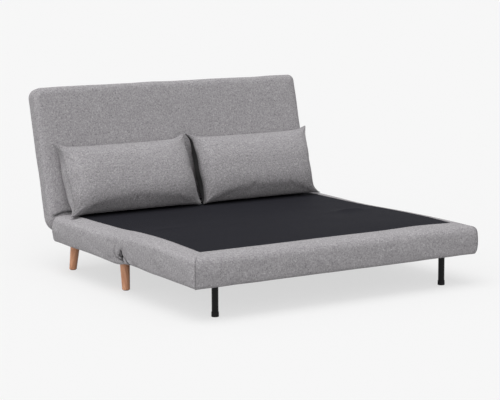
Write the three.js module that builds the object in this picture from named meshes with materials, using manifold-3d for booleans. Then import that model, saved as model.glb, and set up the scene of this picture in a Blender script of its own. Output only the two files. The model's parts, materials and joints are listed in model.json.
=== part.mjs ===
// Click clack sofa bed, laid out as a bed with its backrest up.
// Millimetres, +Z up. The front of the bed faces -Y. The origin lies on the floor,
// under the middle of the whole sofa bed.
import * as THREE from 'three';
import { mergeVertices } from 'three/addons/utils/BufferGeometryUtils.js';
import Module from 'manifold-3d';

const wasm = await Module();
wasm.setup();

// Clearances
const gap = 0.3;
const overrun = 5;
const weld = 0.0005;

// The two mattress sections
const width = 1550;
const clearHeight = 157;
const frontDepth = 663;
const rearDepth = 724;
const seam = 4;
const frontDeckHeight = 291;
const rearDeckHeight = 287;
const shoulderDrop = 18;
const sideMargin = 95;
const frontMargin = 121;
const endMargin = 36;
const seamMargin = 13;
const outerCornerRadius = 32;
const seamCornerRadius = 16;
const seamPinch = 24;
const seamPinchHeight = 62;
const underEdgeRadius = 30;
const frontUnderRadius = 12;
const underEdgeInset = 7;
const coverWall = 18;
const padThickness = 28;
const clothThickness = 2;
const clothHem = 1.2;
const dustCoverThickness = 2;

// Timber frames
const railWidth = 24;
const cornerBlock = 90;
const slatWidth = 28;

// Splayed wooden legs
const legTopRadius = 23.5;
const legFootRadius = 17;
const legFromSeam = 153;
const legFromEnd = 25;
const legFromSide = 98;
const legSplay = 24;
const legOutset = 7;
const legPlateSize = 62;
const legPlateThickness = 3;
const legPlateShift = 13;
const glideThickness = 3;
const glideRadius = 14;

// Folding metal legs
const tubeRadius = 14;
const tubeWall = 1.6;
const metalLegFromSide = 155;
const metalLegFromFront = 83;
const footRadius = 16.5;
const footHeight = 26;
const footBase = 4;
const legPivotRise = 24;
const legPivotOverlap = 11;
const legPinRadius = 4;
const channelWidth = 40;
const channelOverPivot = 21;
const channelWall = 1.5;
const channelEndRoom = 14;
const seatBoardThickness = 24;

// Fold hinges between the sections
const foldPinBelowDeck = 0.5;
const foldPinRadius = 2.4;
const knuckleRadius = 4.8;
const knuckleCount = 5;
const knuckleLength = 18;
const leafThickness = 1.4;
const leafDepth = 48.5;
const foldHingeFromSide = 265;

// Backrest
const backSideInset = 5;
const backLength = 669;
const backThickness = 107;
const backLean = 15;
const backEdgeRadius = 30;
const backTopCornerRadius = 60;
const backLowCornerRadius = 24;
const backCoverWall = 18;
const backRimWidth = 34;
const backRimFromFace = 3.5;
const backPostThickness = 40;
const backPostWidth = 45;
const backRailHeight = 45;
const backFootDrop = 35;
const pivotBehindSection = 58;
const pivotBelowDeck = 50.5;

// Click clack ratchet hinges
const ratchetFromSide = 215;
const ratchetPlateThickness = 5;
const ratchetPlateHeight = 36;
const ratchetPlateReach = 150;
const ratchetRootRadius = 25;
const ratchetToothHeight = 4.5;
const ratchetToothPitch = 13;
const ratchetToothCount = 9;
const ratchetFirstTooth = -22;
const ratchetPinRadius = 6;
const ratchetPinHeadRadius = 10;
const ratchetPinHeadThickness = 2.5;
const armThickness = 4;
const armLength = 150;
const armWidth = 34;
const pawlPivotRise = 46;
const pawlEyeRadius = 8;
const pawlPinRadius = 3;
const pawlTipWidth = 5;
const ratchetPocketRoom = 3.5;
const ratchetPocketReach = 60;

// Loose lumbar pillows
const pillowWidth = 730;
const pillowHeight = 382;
const pillowThickness = 168;
const pillowTilt = 10.8;
const pillowSideDrawIn = 24;
const pillowTopDrawIn = 10;
const pillowAcross = 22;
const pillowUp = 14;
const pillowCentre = 370;

// Places that follow from the sizes above
const frontY = 0;
const seamFrontY = frontY + frontDepth;
const foldY = seamFrontY + seam / 2;
const seamRearY = seamFrontY + seam;
const endY = seamRearY + rearDepth;
const pivotY = endY + pivotBehindSection;
const pivotZ = rearDeckHeight - pivotBelowDeck;
const foldPinHeight = Math.max(frontDeckHeight, rearDeckHeight) - foldPinBelowDeck;
const legPivotHeight = clearHeight + legPivotRise;
const backWidth = width - 2 * backSideInset;

// Materials
const finish = (color, roughness, metalness) =>
  new THREE.MeshStandardMaterial({ color, roughness, metalness });
const greyFabric = finish(0x96979c, 0.95, 0);
const deckCloth = finish(0x2b2e33, 0.92, 0);
const backingCloth = finish(0x1d1e20, 0.95, 0);
const timber = finish(0xc7a271, 0.7, 0);
const beech = finish(0xb47f60, 0.45, 0);
const blackSteel = finish(0x17181a, 0.45, 0.5);
const zincSteel = finish(0xa9adb0, 0.35, 1);
const blackRubber = finish(0x161616, 0.85, 0);

const sofaBed = new THREE.Group();

function add(name, geometry, material, parent = sofaBed) {
  const mesh = new THREE.Mesh(geometry, material);
  mesh.name = name;
  parent.add(mesh);
  return mesh;
}

// Shapes shared by the pieces

function block(x0, x1, y0, y1, z0, z1) {
  const box = new THREE.BoxGeometry(x1 - x0, y1 - y0, z1 - z0);
  return box.translate((x0 + x1) / 2, (y0 + y1) / 2, (z0 + z1) / 2);
}

// A round bar along X.
function barAlongX(radius, x0, x1, y, z, sideCount = 20) {
  const bar = new THREE.CylinderGeometry(radius, radius, x1 - x0, sideCount);
  return bar.rotateZ(Math.PI / 2).translate((x0 + x1) / 2, y, z);
}

// A rounded rectangle, counter-clockwise, with a radius for its low and high Y corners.
function roundedOutline(x0, x1, y0, y1, lowRadius, highRadius, steps = 5) {
  const corners = [
    [x1 - highRadius, y1 - highRadius, highRadius],
    [x0 + highRadius, y1 - highRadius, highRadius],
    [x0 + lowRadius, y0 + lowRadius, lowRadius],
    [x1 - lowRadius, y0 + lowRadius, lowRadius],
  ];
  return corners.flatMap(([x, y, radius], corner) =>
    Array.from({ length: steps + 1 }, (_, step) => {
      const angle = (corner + step / steps) * (Math.PI / 2);
      return [x + radius * Math.cos(angle), y + radius * Math.sin(angle)];
    }),
  );
}

// Rings of equally many points, joined into one closed skin and capped at both ends.
function loft(rings) {
  const count = rings[0].length;
  const points = rings.flat().map(([x, y, z]) => new THREE.Vector3(x, y, z));
  const middle = (ring) =>
    ring
      .reduce((sum, [x, y, z]) => sum.add(new THREE.Vector3(x, y, z)), new THREE.Vector3())
      .divideScalar(count);
  const firstMiddle = points.length;
  const top = firstMiddle - count;
  points.push(middle(rings[0]), middle(rings.at(-1)));
  const faces = [];
  for (let step = 0; step < count; step += 1) {
    const next = (step + 1) % count;
    faces.push(firstMiddle, next, step, firstMiddle + 1, top + step, top + next);
    for (let level = 0; level + 1 < rings.length; level += 1) {
      const near = level * count + step;
      const far = level * count + next;
      faces.push(near, far, far + count, near, far + count, near + count);
    }
  }
  const geometry = new THREE.BufferGeometry().setFromPoints(points).setIndex(faces);
  geometry.computeVertexNormals();
  return geometry;
}

// Booleans

function toSolid(geometry) {
  const bare = geometry.clone();
  bare.deleteAttribute('normal');
  bare.deleteAttribute('uv');
  const merged = mergeVertices(bare, weld);
  return new wasm.Manifold(
    new wasm.Mesh({
      numProp: 3,
      vertProperties: new Float32Array(merged.attributes.position.array),
      triVerts: new Uint32Array(merged.index.array),
    }),
  );
}

function toGeometry(solid) {
  const mesh = solid.getMesh();
  const geometry = new THREE.BufferGeometry();
  geometry.setAttribute('position', new THREE.BufferAttribute(mesh.vertProperties, 3));
  geometry.setIndex(new THREE.BufferAttribute(mesh.triVerts, 1));
  geometry.computeVertexNormals();
  return geometry;
}

function cut(geometry, cutters) {
  return toGeometry(cutters.reduce((solid, cutter) => solid.subtract(toSolid(cutter)), toSolid(geometry)));
}

function common(geometry, area) {
  return toGeometry(toSolid(geometry).intersect(toSolid(area)));
}

function join(geometries) {
  return toGeometry(geometries.map(toSolid).reduce((solid, next) => solid.add(next)));
}

// Both mattress sections share this shape: a padded box with sloping shoulders.
// The section's seam side is at seamSideY and its free side at freeSideY.
class Section {
  constructor({ seamSideY, freeSideY, deckHeight, freeMargin, freeUnderRadius, panelThickness }) {
    this.seamSideY = seamSideY;
    this.freeSideY = freeSideY;
    this.inward = Math.sign(seamSideY - freeSideY);
    this.deckHeight = deckHeight;
    this.freeMargin = freeMargin;
    this.freeUnderRadius = freeUnderRadius;
    this.padTop = deckHeight - clothThickness - gap;
    this.padUnder = this.padTop - padThickness;
    this.panelTop = clearHeight + panelThickness;
    this.frameUnder = this.panelTop + gap;
    this.frameTop = this.padUnder - gap;
  }

  // One level of the section, drawn in from its sides, seam end and free end. The pinch
  // rounds the seam's corners further, where the cover is gathered into the fold.
  ring(height, side, seamEnd, freeEnd, pinch = 0) {
    const seamY = this.seamSideY - this.inward * seamEnd;
    const freeY = this.freeSideY + this.inward * freeEnd;
    const halfWidth = width / 2 - side;
    const freeRadius = Math.max(outerCornerRadius - side, gap);
    const seamRadius = Math.max(seamCornerRadius + pinch - side, gap);
    const seamIsHigh = this.inward > 0;
    return roundedOutline(
      -halfWidth,
      halfWidth,
      Math.min(seamY, freeY),
      Math.max(seamY, freeY),
      seamIsHigh ? freeRadius : seamRadius,
      seamIsHigh ? seamRadius : freeRadius,
    ).map(([x, y]) => [x, y, height]);
  }

  // One level of the cavity; its free end leaves room for the rounded under edge.
  cavityRing(height, room) {
    const wall = coverWall + room;
    const edge = Math.max(clearHeight + this.freeUnderRadius - height, 0);
    return this.ring(height, wall, wall, wall + edge);
  }

  cavityRings(room, bottom, top) {
    const edgeTop = clearHeight + this.freeUnderRadius;
    const heights = bottom < edgeTop ? [bottom, edgeTop, top] : [bottom, top];
    return heights.map((height) => this.cavityRing(height, room));
  }

  cover() {
    const underSteps = 4;
    const under = Array.from({ length: underSteps + 1 }, (_, step) => {
      const angle = (step / underSteps) * (Math.PI / 2);
      const share = 1 - Math.sin(angle);
      const height = clearHeight + this.freeUnderRadius * (1 - Math.cos(angle));
      const inset = underEdgeInset * share;
      return this.ring(height, inset, inset, this.freeUnderRadius * share, seamPinch);
    });
    const pinchTop = this.ring(clearHeight + seamPinchHeight, 0, 0, 0);
    const shoulderHeight = this.deckHeight - shoulderDrop;
    const shoulderShares = [[0, 0], [0.16, 0.35], [0.52, 0.74], [1, 1]];
    const shoulder = shoulderShares.map(([inShare, upShare]) =>
      this.ring(
        shoulderHeight + shoulderDrop * upShare,
        sideMargin * inShare,
        seamMargin * inShare,
        this.freeMargin * inShare,
      ),
    );
    const recess = this.ring(this.padTop, sideMargin, seamMargin, this.freeMargin);
    const cavity = this.cavityRings(0, clearHeight, this.padUnder).reverse();
    return loft([...cavity, ...under, pinchTop, ...shoulder, recess]);
  }

  deckCloth() {
    const inset = (height) =>
      this.ring(height, sideMargin + gap, seamMargin + gap, this.freeMargin + gap);
    const hem = this.ring(
      this.deckHeight,
      sideMargin + gap + clothHem,
      seamMargin + gap + clothHem,
      this.freeMargin + gap + clothHem,
    );
    return loft([inset(this.padTop + gap), inset(this.deckHeight - clothHem), hem]);
  }

  // A ladder frame: end rails, side rails, slats, and corner blocks that take the legs.
  frame(slatXs) {
    const outer = loft(this.cavityRings(gap, this.frameUnder, this.frameTop));
    const inset = coverWall + gap;
    const lowY = Math.min(this.seamSideY, this.freeSideY) + inset;
    const highY = Math.max(this.seamSideY, this.freeSideY) - inset;
    const edge = width / 2 - inset - railWidth;
    const walls = [-edge, ...slatXs.flatMap((x) => [x - slatWidth / 2, x + slatWidth / 2]), edge];
    const clearWay = (x0, x1, endWidth) =>
      block(x0, x1, lowY + endWidth, highY - endWidth, this.frameUnder - overrun, this.frameTop + overrun);
    const bays = Array.from({ length: walls.length / 2 }, (_, bay) => {
      const [x0, x1] = [walls[2 * bay], walls[2 * bay + 1]];
      const pastBlocks = [Math.max(x0, cornerBlock - edge), Math.min(x1, edge - cornerBlock)];
      return [clearWay(x0, x1, cornerBlock), clearWay(...pastBlocks, railWidth)];
    });
    return cut(outer, bays.flat());
  }

  // The panel that closes the underside.
  underPanel() {
    const low = this.cavityRing(clearHeight, gap);
    return loft([low, low.map(([x, y]) => [x, y, this.panelTop])]);
  }
}

const alongX = new THREE.Matrix4().makeBasis(
  new THREE.Vector3(0, 1, 0),
  new THREE.Vector3(0, 0, 1),
  new THREE.Vector3(1, 0, 0),
);

// A flat plate that stands across X, drawn in Y and Z, with its middle at x.
function plateAcrossX(shape, thickness, x, curveSegments = 10) {
  const plate = new THREE.ExtrudeGeometry(shape, { depth: thickness, bevelEnabled: false, curveSegments });
  return plate.applyMatrix4(alongX).translate(x - thickness / 2, 0, 0);
}

function roundHole(y, z, radius) {
  return new THREE.Path().absarc(y, z, radius, 0, 2 * Math.PI, true);
}

// Where the ratchet hinges stand, and the slot that each one works in
const ratchetX = width / 2 - ratchetFromSide;
const armX = ratchetX + ratchetPlateThickness / 2 + gap + armThickness / 2;
const armOuterX = armX + armThickness / 2;
const pinHeadX = ratchetX - ratchetPlateThickness / 2 - gap - ratchetPinHeadThickness;
const slotInnerX = pinHeadX - gap;
const slotOuterX = armOuterX + gap;
const slatBesidePlateX = ratchetX - ratchetPlateThickness / 2 - gap - slatWidth / 2;
const ratchetTipRadius = ratchetRootRadius + ratchetToothHeight;

function blockOnSide(side, innerX, outerX, y0, y1, z0, z1) {
  const ends = [side * innerX, side * outerX];
  return block(Math.min(...ends), Math.max(...ends), y0, y1, z0, z1);
}

// Rear section
const rear = new Section({
  seamSideY: seamRearY,
  freeSideY: endY,
  deckHeight: rearDeckHeight,
  freeMargin: endMargin,
  freeUnderRadius: underEdgeRadius,
  panelThickness: dustCoverThickness,
});

function ratchetPlateWay(side) {
  const half = ratchetPlateThickness / 2 + gap;
  const rise = ratchetPlateHeight / 2 + gap;
  return blockOnSide(
    side,
    ratchetX - half,
    ratchetX + half,
    pivotY - ratchetPlateReach - pivotBehindSection,
    endY + overrun,
    pivotZ - rise,
    pivotZ + rise,
  );
}

const plateWays = [-1, 1].map(ratchetPlateWay);
add('rear_upholstery', cut(rear.cover(), plateWays), greyFabric);
add('rear_deck_cloth', rear.deckCloth(), deckCloth);
add('rear_frame', cut(rear.frame([-slatBesidePlateX, 0, slatBesidePlateX]), plateWays), timber);
add('rear_dust_cover', rear.underPanel(), backingCloth);

// Splayed wooden legs under the rear section
function circle(radius, x, y, z, steps = 24) {
  return Array.from({ length: steps }, (_, step) => {
    const angle = (step / steps) * 2 * Math.PI;
    return [x + radius * Math.cos(angle), y + radius * Math.sin(angle), z];
  });
}

function woodenLeg(name, side, topY, along) {
  const topX = side * (width / 2 - legFromSide);
  const footX = topX + side * legOutset;
  const footY = topY + along * legSplay;
  const plateTop = clearHeight - gap;
  const plateUnder = plateTop - legPlateThickness;
  const legTop = plateUnder - gap;
  const legUnder = glideThickness + gap;
  const plateY = topY - along * legPlateShift;
  const half = legPlateSize / 2;
  const plate = block(topX - half, topX + half, plateY - half, plateY + half, plateUnder, plateTop);
  add(`leg_plate_${name}`, plate, zincSteel);
  const leg = loft([circle(legFootRadius, footX, footY, legUnder), circle(legTopRadius, topX, topY, legTop)]);
  add(`wood_leg_${name}`, leg, beech);
  const glide = [0, glideThickness].map((height) => circle(glideRadius, footX, footY, height));
  add(`leg_glide_${name}`, loft(glide), blackRubber);
}

for (const [name, side] of [['left', -1], ['right', 1]]) {
  woodenLeg(`front_${name}`, side, seamRearY + legFromSeam, -1);
  woodenLeg(`rear_${name}`, side, endY - legFromEnd, 1);
}

// Front section
const front = new Section({
  seamSideY: seamFrontY,
  freeSideY: frontY,
  deckHeight: frontDeckHeight,
  freeMargin: frontMargin,
  freeUnderRadius: frontUnderRadius,
  panelThickness: seatBoardThickness,
});

const metalLegX = width / 2 - metalLegFromSide;
const metalLegY = frontY + metalLegFromFront;
const channelOuterX = metalLegX + tubeRadius + channelEndRoom;
const channelInnerX = metalLegX - legPivotHeight - channelEndRoom;
const channelTop = legPivotHeight + channelOverPivot;

function channelBlock(side, room, bottom, top) {
  const half = channelWidth / 2 + room;
  return blockOnSide(
    side,
    channelInnerX - room,
    channelOuterX + room,
    metalLegY - half,
    metalLegY + half,
    bottom,
    top,
  );
}

const channelPockets = [-1, 1].map((side) =>
  channelBlock(side, gap, clearHeight - overrun, channelTop + gap),
);
add('front_upholstery', front.cover(), greyFabric);
add('front_deck_cloth', front.deckCloth(), deckCloth);
add('front_frame', cut(front.frame([-slatBesidePlateX, 0, slatBesidePlateX]), channelPockets), timber);

// The seat panel is laid in pieces round the leg pockets.
function seatPad(name, x0, x1, y0, y1) {
  const area = block(x0, x1, y0, y1, clearHeight - overrun, front.panelTop + overrun);
  add(name, common(front.underPanel(), area), greyFabric);
}

const pocketFrontY = metalLegY - channelWidth / 2 - gap;
const pocketRearY = metalLegY + channelWidth / 2 + gap;
const pocketInnerX = channelInnerX - gap;
const pocketOuterX = channelOuterX + gap;
seatPad('seat_pad_front', -width, width, frontY, pocketFrontY - gap);
seatPad('seat_pad_middle', -pocketInnerX, pocketInnerX, pocketFrontY, pocketRearY);
seatPad('seat_pad_left', -width, -pocketOuterX, pocketFrontY, pocketRearY);
seatPad('seat_pad_right', pocketOuterX, width, pocketFrontY, pocketRearY);
seatPad('front_seat_panel', -width, width, pocketRearY + gap, seamFrontY);

// Folding metal legs, each in a pressed steel pocket
function upright(radius, x, y, z0, z1) {
  return loft([circle(radius, x, y, z0), circle(radius, x, y, z1)]);
}

function barAlongY(radius, x, y0, y1, z, sideCount = 20) {
  return new THREE.CylinderGeometry(radius, radius, y1 - y0, sideCount).translate(x, (y0 + y1) / 2, z);
}

function metalLeg(name, side) {
  const x = side * metalLegX;
  const y = metalLegY;
  const half = channelWidth / 2;
  const pinHole = (room) =>
    barAlongY(legPinRadius + room, x, y - half - overrun, y + half + overrun, legPivotHeight);
  const hollow = channelBlock(side, -channelWall, clearHeight - overrun, channelTop - channelWall);
  const channel = cut(channelBlock(side, 0, clearHeight, channelTop), [hollow, pinHole(gap)]);
  add(`leg_channel_${name}`, channel, blackSteel);
  add(`leg_pin_${name}`, barAlongY(legPinRadius, x, y - half, y + half, legPivotHeight), zincSteel);
  const tubeUnder = footBase + gap;
  const tubeTop = legPivotHeight + legPivotOverlap;
  const bore = upright(tubeRadius - tubeWall, x, y, tubeUnder - overrun, tubeTop + overrun);
  const tube = cut(upright(tubeRadius, x, y, tubeUnder, tubeTop), [bore, pinHole(gap)]);
  add(`metal_leg_${name}`, tube, blackSteel);
  const socket = upright(tubeRadius + gap, x, y, footBase, footHeight + overrun);
  add(`leg_foot_${name}`, cut(upright(footRadius, x, y, 0, footHeight), [socket]), blackRubber);
}

metalLeg('left', -1);
metalLeg('right', 1);

// Butt hinges that the front section turns over on
function foldLeaf(side, towards, ownsKnuckle) {
  const pitch = knuckleLength + gap;
  const length = knuckleCount * pitch - gap;
  const x0 = side * (width / 2 - foldHingeFromSide) - length / 2;
  const inner = foldY + towards * (seam / 2 - gap - leafThickness);
  const outer = foldY + towards * (seam / 2 - gap);
  const low = Math.min(inner, outer);
  const high = Math.max(inner, outer);
  const plateTop = foldPinHeight - knuckleRadius - gap;
  const leafUnder = Math.min(frontDeckHeight, rearDeckHeight) - leafDepth;
  const pieces = [block(x0, x0 + length, low, high, leafUnder, plateTop)];
  for (let index = 0; index < knuckleCount; index += 1) {
    if (ownsKnuckle(index)) {
      const start = x0 + index * pitch;
      pieces.push(block(start, start + knuckleLength, low, high, plateTop - overrun, foldPinHeight));
      pieces.push(barAlongX(knuckleRadius, start, start + knuckleLength, foldY, foldPinHeight));
    }
  }
  const bore = barAlongX(foldPinRadius + gap, x0 - overrun, x0 + length + overrun, foldY, foldPinHeight);
  return { leaf: cut(join(pieces), [bore]), x0, length };
}

for (const [name, side] of [['left', -1], ['right', 1]]) {
  const { leaf, x0, length } = foldLeaf(side, 1, (index) => index % 2 === 0);
  add(`fold_hinge_rear_leaf_${name}`, leaf, zincSteel);
  add(`fold_hinge_front_leaf_${name}`, foldLeaf(side, -1, (index) => index % 2 === 1).leaf, zincSteel);
  add(`fold_hinge_pin_${name}`, barAlongX(foldPinRadius, x0, x0 + length, foldY, foldPinHeight), zincSteel);
}

// Fixed halves of the click clack hinges: toothed plates on the rear frame
function ratchetPlateShape() {
  const half = ratchetPlateHeight / 2;
  const shoulder = Math.asin(half / ratchetRootRadius);
  const shape = new THREE.Shape();
  shape.moveTo(-ratchetPlateReach, half);
  shape.lineTo(-ratchetPlateReach, -half);
  shape.lineTo(-ratchetRootRadius * Math.cos(shoulder), -half);
  const pitch = THREE.MathUtils.degToRad(ratchetToothPitch);
  const first = THREE.MathUtils.degToRad(ratchetFirstTooth);
  shape.absarc(0, 0, ratchetRootRadius, shoulder - Math.PI, first, false);
  const toothShares = [[0.12, 1], [0.4, 1], [0.94, 0]];
  for (let tooth = 0; tooth < ratchetToothCount; tooth += 1) {
    for (const [pitchShare, heightShare] of toothShares) {
      const radius = ratchetRootRadius + heightShare * ratchetToothHeight;
      const angle = first + (tooth + pitchShare) * pitch;
      shape.lineTo(radius * Math.cos(angle), radius * Math.sin(angle));
    }
  }
  shape.absarc(0, 0, ratchetRootRadius, first + ratchetToothCount * pitch, Math.PI - shoulder, false);
  shape.lineTo(-ratchetPlateReach, half);
  shape.holes.push(roundHole(0, 0, ratchetPinRadius + gap));
  return shape;
}

for (const [name, side] of [['left', -1], ['right', 1]]) {
  const plate = plateAcrossX(ratchetPlateShape(), ratchetPlateThickness, side * ratchetX);
  add(`ratchet_plate_${name}`, plate.translate(0, pivotY, pivotZ), zincSteel);
  const headX = ratchetX - ratchetPlateThickness / 2 - gap;
  const shaft = [side * headX, side * armOuterX];
  const head = [side * (headX - ratchetPinHeadThickness), side * headX];
  const pin = join([
    barAlongX(ratchetPinRadius, Math.min(...shaft), Math.max(...shaft), pivotY, pivotZ),
    barAlongX(ratchetPinHeadRadius, Math.min(...head), Math.max(...head), pivotY, pivotZ),
  ]);
  add(`ratchet_pin_${name}`, pin, zincSteel);
}

// Backrest, built upright about its pivot and then leaned back
const backrest = new THREE.Group();
backrest.position.set(0, pivotY, pivotZ);
backrest.rotation.x = -THREE.MathUtils.degToRad(backLean);
sofaBed.add(backrest);

// One level of the backrest, forward of its middle plane, from its low edge to its top.
function backRing(forward, side, low, top) {
  const halfWidth = backWidth / 2 - side;
  const lowRadius = Math.max(backLowCornerRadius - side, gap);
  const topRadius = Math.max(backTopCornerRadius - side, gap);
  const outline = roundedOutline(-halfWidth, halfWidth, low, backLength - top, lowRadius, topRadius, 6);
  return outline.map(([x, rise]) => [x, -forward, rise]);
}

function backCover() {
  const half = backThickness / 2;
  const frameHalf = backPostThickness / 2 + gap;
  const rim = -(half - backRimFromFace);
  const cavityFoot = -backFootDrop - gap;
  const openingFoot = backRimWidth - Math.sqrt(half ** 2 - rim ** 2);
  const outerShares = [rim / half, -0.78, -0.44, 0, 0.44, 0.72, 0.9, 0.98, 1];
  const outer = outerShares.map((share) => {
    const forward = share * half;
    const beyond = Math.max(Math.abs(forward) - (half - backEdgeRadius), 0);
    const inset = backEdgeRadius - Math.sqrt(Math.max(backEdgeRadius ** 2 - beyond ** 2, 0));
    return backRing(forward, inset, -Math.sqrt(half ** 2 - forward ** 2), inset);
  });
  return loft([
    backRing(frameHalf, backCoverWall, cavityFoot, backCoverWall),
    backRing(-frameHalf, backCoverWall, cavityFoot, backCoverWall),
    backRing(-frameHalf, backRimWidth, openingFoot, backRimWidth),
    backRing(rim, backRimWidth, openingFoot, backRimWidth),
    ...outer,
  ]);
}

function backPanel() {
  const half = backThickness / 2;
  const rim = half - backRimFromFace;
  const foot = backRimWidth - Math.sqrt(half ** 2 - rim ** 2) + gap;
  const side = backRimWidth + gap;
  const hem = backRimFromFace;
  return loft([
    backRing(-half, side + hem, foot + hem, side + hem),
    backRing(-rim, side, foot, side),
    backRing(-backPostThickness / 2 - 2 * gap, side, foot, side),
  ]);
}

function backFrame() {
  const half = backPostThickness / 2;
  const edge = backWidth / 2 - backCoverWall - gap;
  const top = backLength - backCoverWall - gap;
  const posts = [slotInnerX - backPostWidth, slotOuterX + backPostWidth];
  const lowRail = backRailHeight - backFootDrop;
  const bays = [
    [-edge + backPostWidth, -posts[1]],
    [-posts[0], -backPostWidth / 2],
    [backPostWidth / 2, posts[0]],
    [posts[1], edge - backPostWidth],
  ].map(([x0, x1]) => block(x0, x1, -half - overrun, half + overrun, lowRail, top - backRailHeight));
  const wall = backCoverWall + gap;
  const outer = [-half, half].map((forward) => backRing(forward, wall, -backFootDrop, wall));
  const slots = [-1, 1].map((side) =>
    blockOnSide(
      side,
      slotInnerX,
      slotOuterX,
      -half - overrun,
      half + overrun,
      -backFootDrop - overrun,
      armLength + ratchetPocketRoom,
    ),
  );
  return cut(loft(outer), [...bays, ...slots]);
}

// The room that each toothed plate needs as the backrest turns round it
const ratchetPockets = [-1, 1].map((side) => {
  const room = ratchetTipRadius + ratchetPocketRoom;
  return blockOnSide(side, slotInnerX, slotOuterX, -ratchetPocketReach, room, -ratchetPocketReach, room);
});

add('back_frame', backFrame(), timber, backrest);
add('back_front_pad', cut(backCover(), ratchetPockets), greyFabric, backrest);
add('back_rear_panel', cut(backPanel(), ratchetPockets), greyFabric, backrest);

// Moving halves of the click clack hinges: arms and pawls on the backrest's frame
function armShape() {
  const half = armWidth / 2;
  const shape = new THREE.Shape();
  shape.absarc(0, 0, half, Math.PI, 2 * Math.PI, false);
  shape.lineTo(half, armLength);
  shape.lineTo(-half, armLength);
  shape.lineTo(-half, 0);
  shape.holes.push(roundHole(0, 0, ratchetPinRadius + gap), roundHole(0, pawlPivotRise, pawlPinRadius + gap));
  return shape;
}

function pawlShape() {
  const tipRise = ratchetTipRadius + gap - pawlPivotRise;
  const shape = new THREE.Shape();
  shape.absarc(0, 0, pawlEyeRadius, 0, Math.PI, false);
  shape.lineTo(-pawlTipWidth, tipRise);
  shape.lineTo(0, tipRise);
  shape.lineTo(pawlEyeRadius, 0);
  shape.holes.push(roundHole(0, 0, pawlPinRadius + gap));
  return shape;
}

for (const [name, side] of [['left', -1], ['right', 1]]) {
  add(`ratchet_arm_${name}`, plateAcrossX(armShape(), armThickness, side * armX), zincSteel, backrest);
  const pawl = plateAcrossX(pawlShape(), ratchetPlateThickness, side * ratchetX);
  add(`ratchet_pawl_${name}`, pawl.translate(0, 0, pawlPivotRise), zincSteel, backrest);
  const ends = [side * (ratchetX - ratchetPlateThickness / 2), side * armOuterX];
  const pin = barAlongX(pawlPinRadius, Math.min(...ends), Math.max(...ends), 0, pawlPivotRise, 14);
  add(`pawl_pin_${name}`, pin, zincSteel, backrest);
}

// Lumbar pillows: crowned on both faces, with their sides drawn in between the corners
function pillowGeometry() {
  const points = [];
  const faces = [];
  const columns = pillowAcross + 1;
  const layer = columns * (pillowUp + 1);
  for (const facing of [-1, 1]) {
    for (let row = 0; row <= pillowUp; row += 1) {
      for (let column = 0; column <= pillowAcross; column += 1) {
        const across = Math.sin((column / pillowAcross - 0.5) * Math.PI);
        const up = Math.sin((row / pillowUp - 0.5) * Math.PI);
        const x = across * (pillowWidth / 2 - pillowSideDrawIn * (1 - up ** 2) * across ** 2);
        const z = up * (pillowHeight / 2 - pillowTopDrawIn * (1 - across ** 2) * up ** 2);
        const crown = (1 - Math.abs(across) ** 3.4) ** 0.62 * (1 - Math.abs(up) ** 2.6) ** 0.62;
        points.push(new THREE.Vector3(x, (facing * crown * pillowThickness) / 2, z));
      }
    }
  }
  for (let row = 0; row < pillowUp; row += 1) {
    for (let column = 0; column < pillowAcross; column += 1) {
      const near = row * columns + column;
      const far = near + columns;
      faces.push(near, near + 1, far + 1, near, far + 1, far);
      const [nearBack, farBack] = [near + layer, far + layer];
      faces.push(nearBack, farBack + 1, nearBack + 1, nearBack, farBack, farBack + 1);
    }
  }
  const geometry = new THREE.BufferGeometry().setFromPoints(points).setIndex(faces);
  const welded = mergeVertices(geometry, weld);
  welded.computeVertexNormals();
  return welded.rotateX(-THREE.MathUtils.degToRad(backLean + pillowTilt));
}

// A pillow stands on the rear deck and leans on the backrest's front face.
function pillow(name, x) {
  const geometry = pillowGeometry();
  geometry.computeBoundingBox();
  const standZ = rearDeckHeight + gap - geometry.boundingBox.min.z;
  const lean = THREE.MathUtils.degToRad(backLean);
  const forward = new THREE.Vector3(0, -Math.cos(lean), Math.sin(lean));
  const face = new THREE.Vector3(0, pivotY, pivotZ).addScaledVector(forward, backThickness / 2 + gap);
  const point = new THREE.Vector3();
  const positions = geometry.attributes.position;
  let nearest = Infinity;
  for (let index = 0; index < positions.count; index += 1) {
    point.fromBufferAttribute(positions, index).add(new THREE.Vector3(0, 0, standZ)).sub(face);
    nearest = Math.min(nearest, point.dot(forward));
  }
  add(name, geometry.translate(x, nearest / Math.cos(lean), standZ), greyFabric);
}

pillow('pillow_left', -pillowCentre);
pillow('pillow_right', pillowCentre);

// The origin goes under the middle of the whole sofa bed.
const bounds = new THREE.Box3().setFromObject(sofaBed, true);
sofaBed.position.y = -(bounds.min.y + bounds.max.y) / 2;
sofaBed.updateMatrixWorld(true);

export default sofaBed;
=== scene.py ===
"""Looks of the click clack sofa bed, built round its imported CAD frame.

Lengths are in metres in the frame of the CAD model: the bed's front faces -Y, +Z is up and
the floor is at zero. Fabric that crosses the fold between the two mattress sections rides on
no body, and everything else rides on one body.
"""

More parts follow.
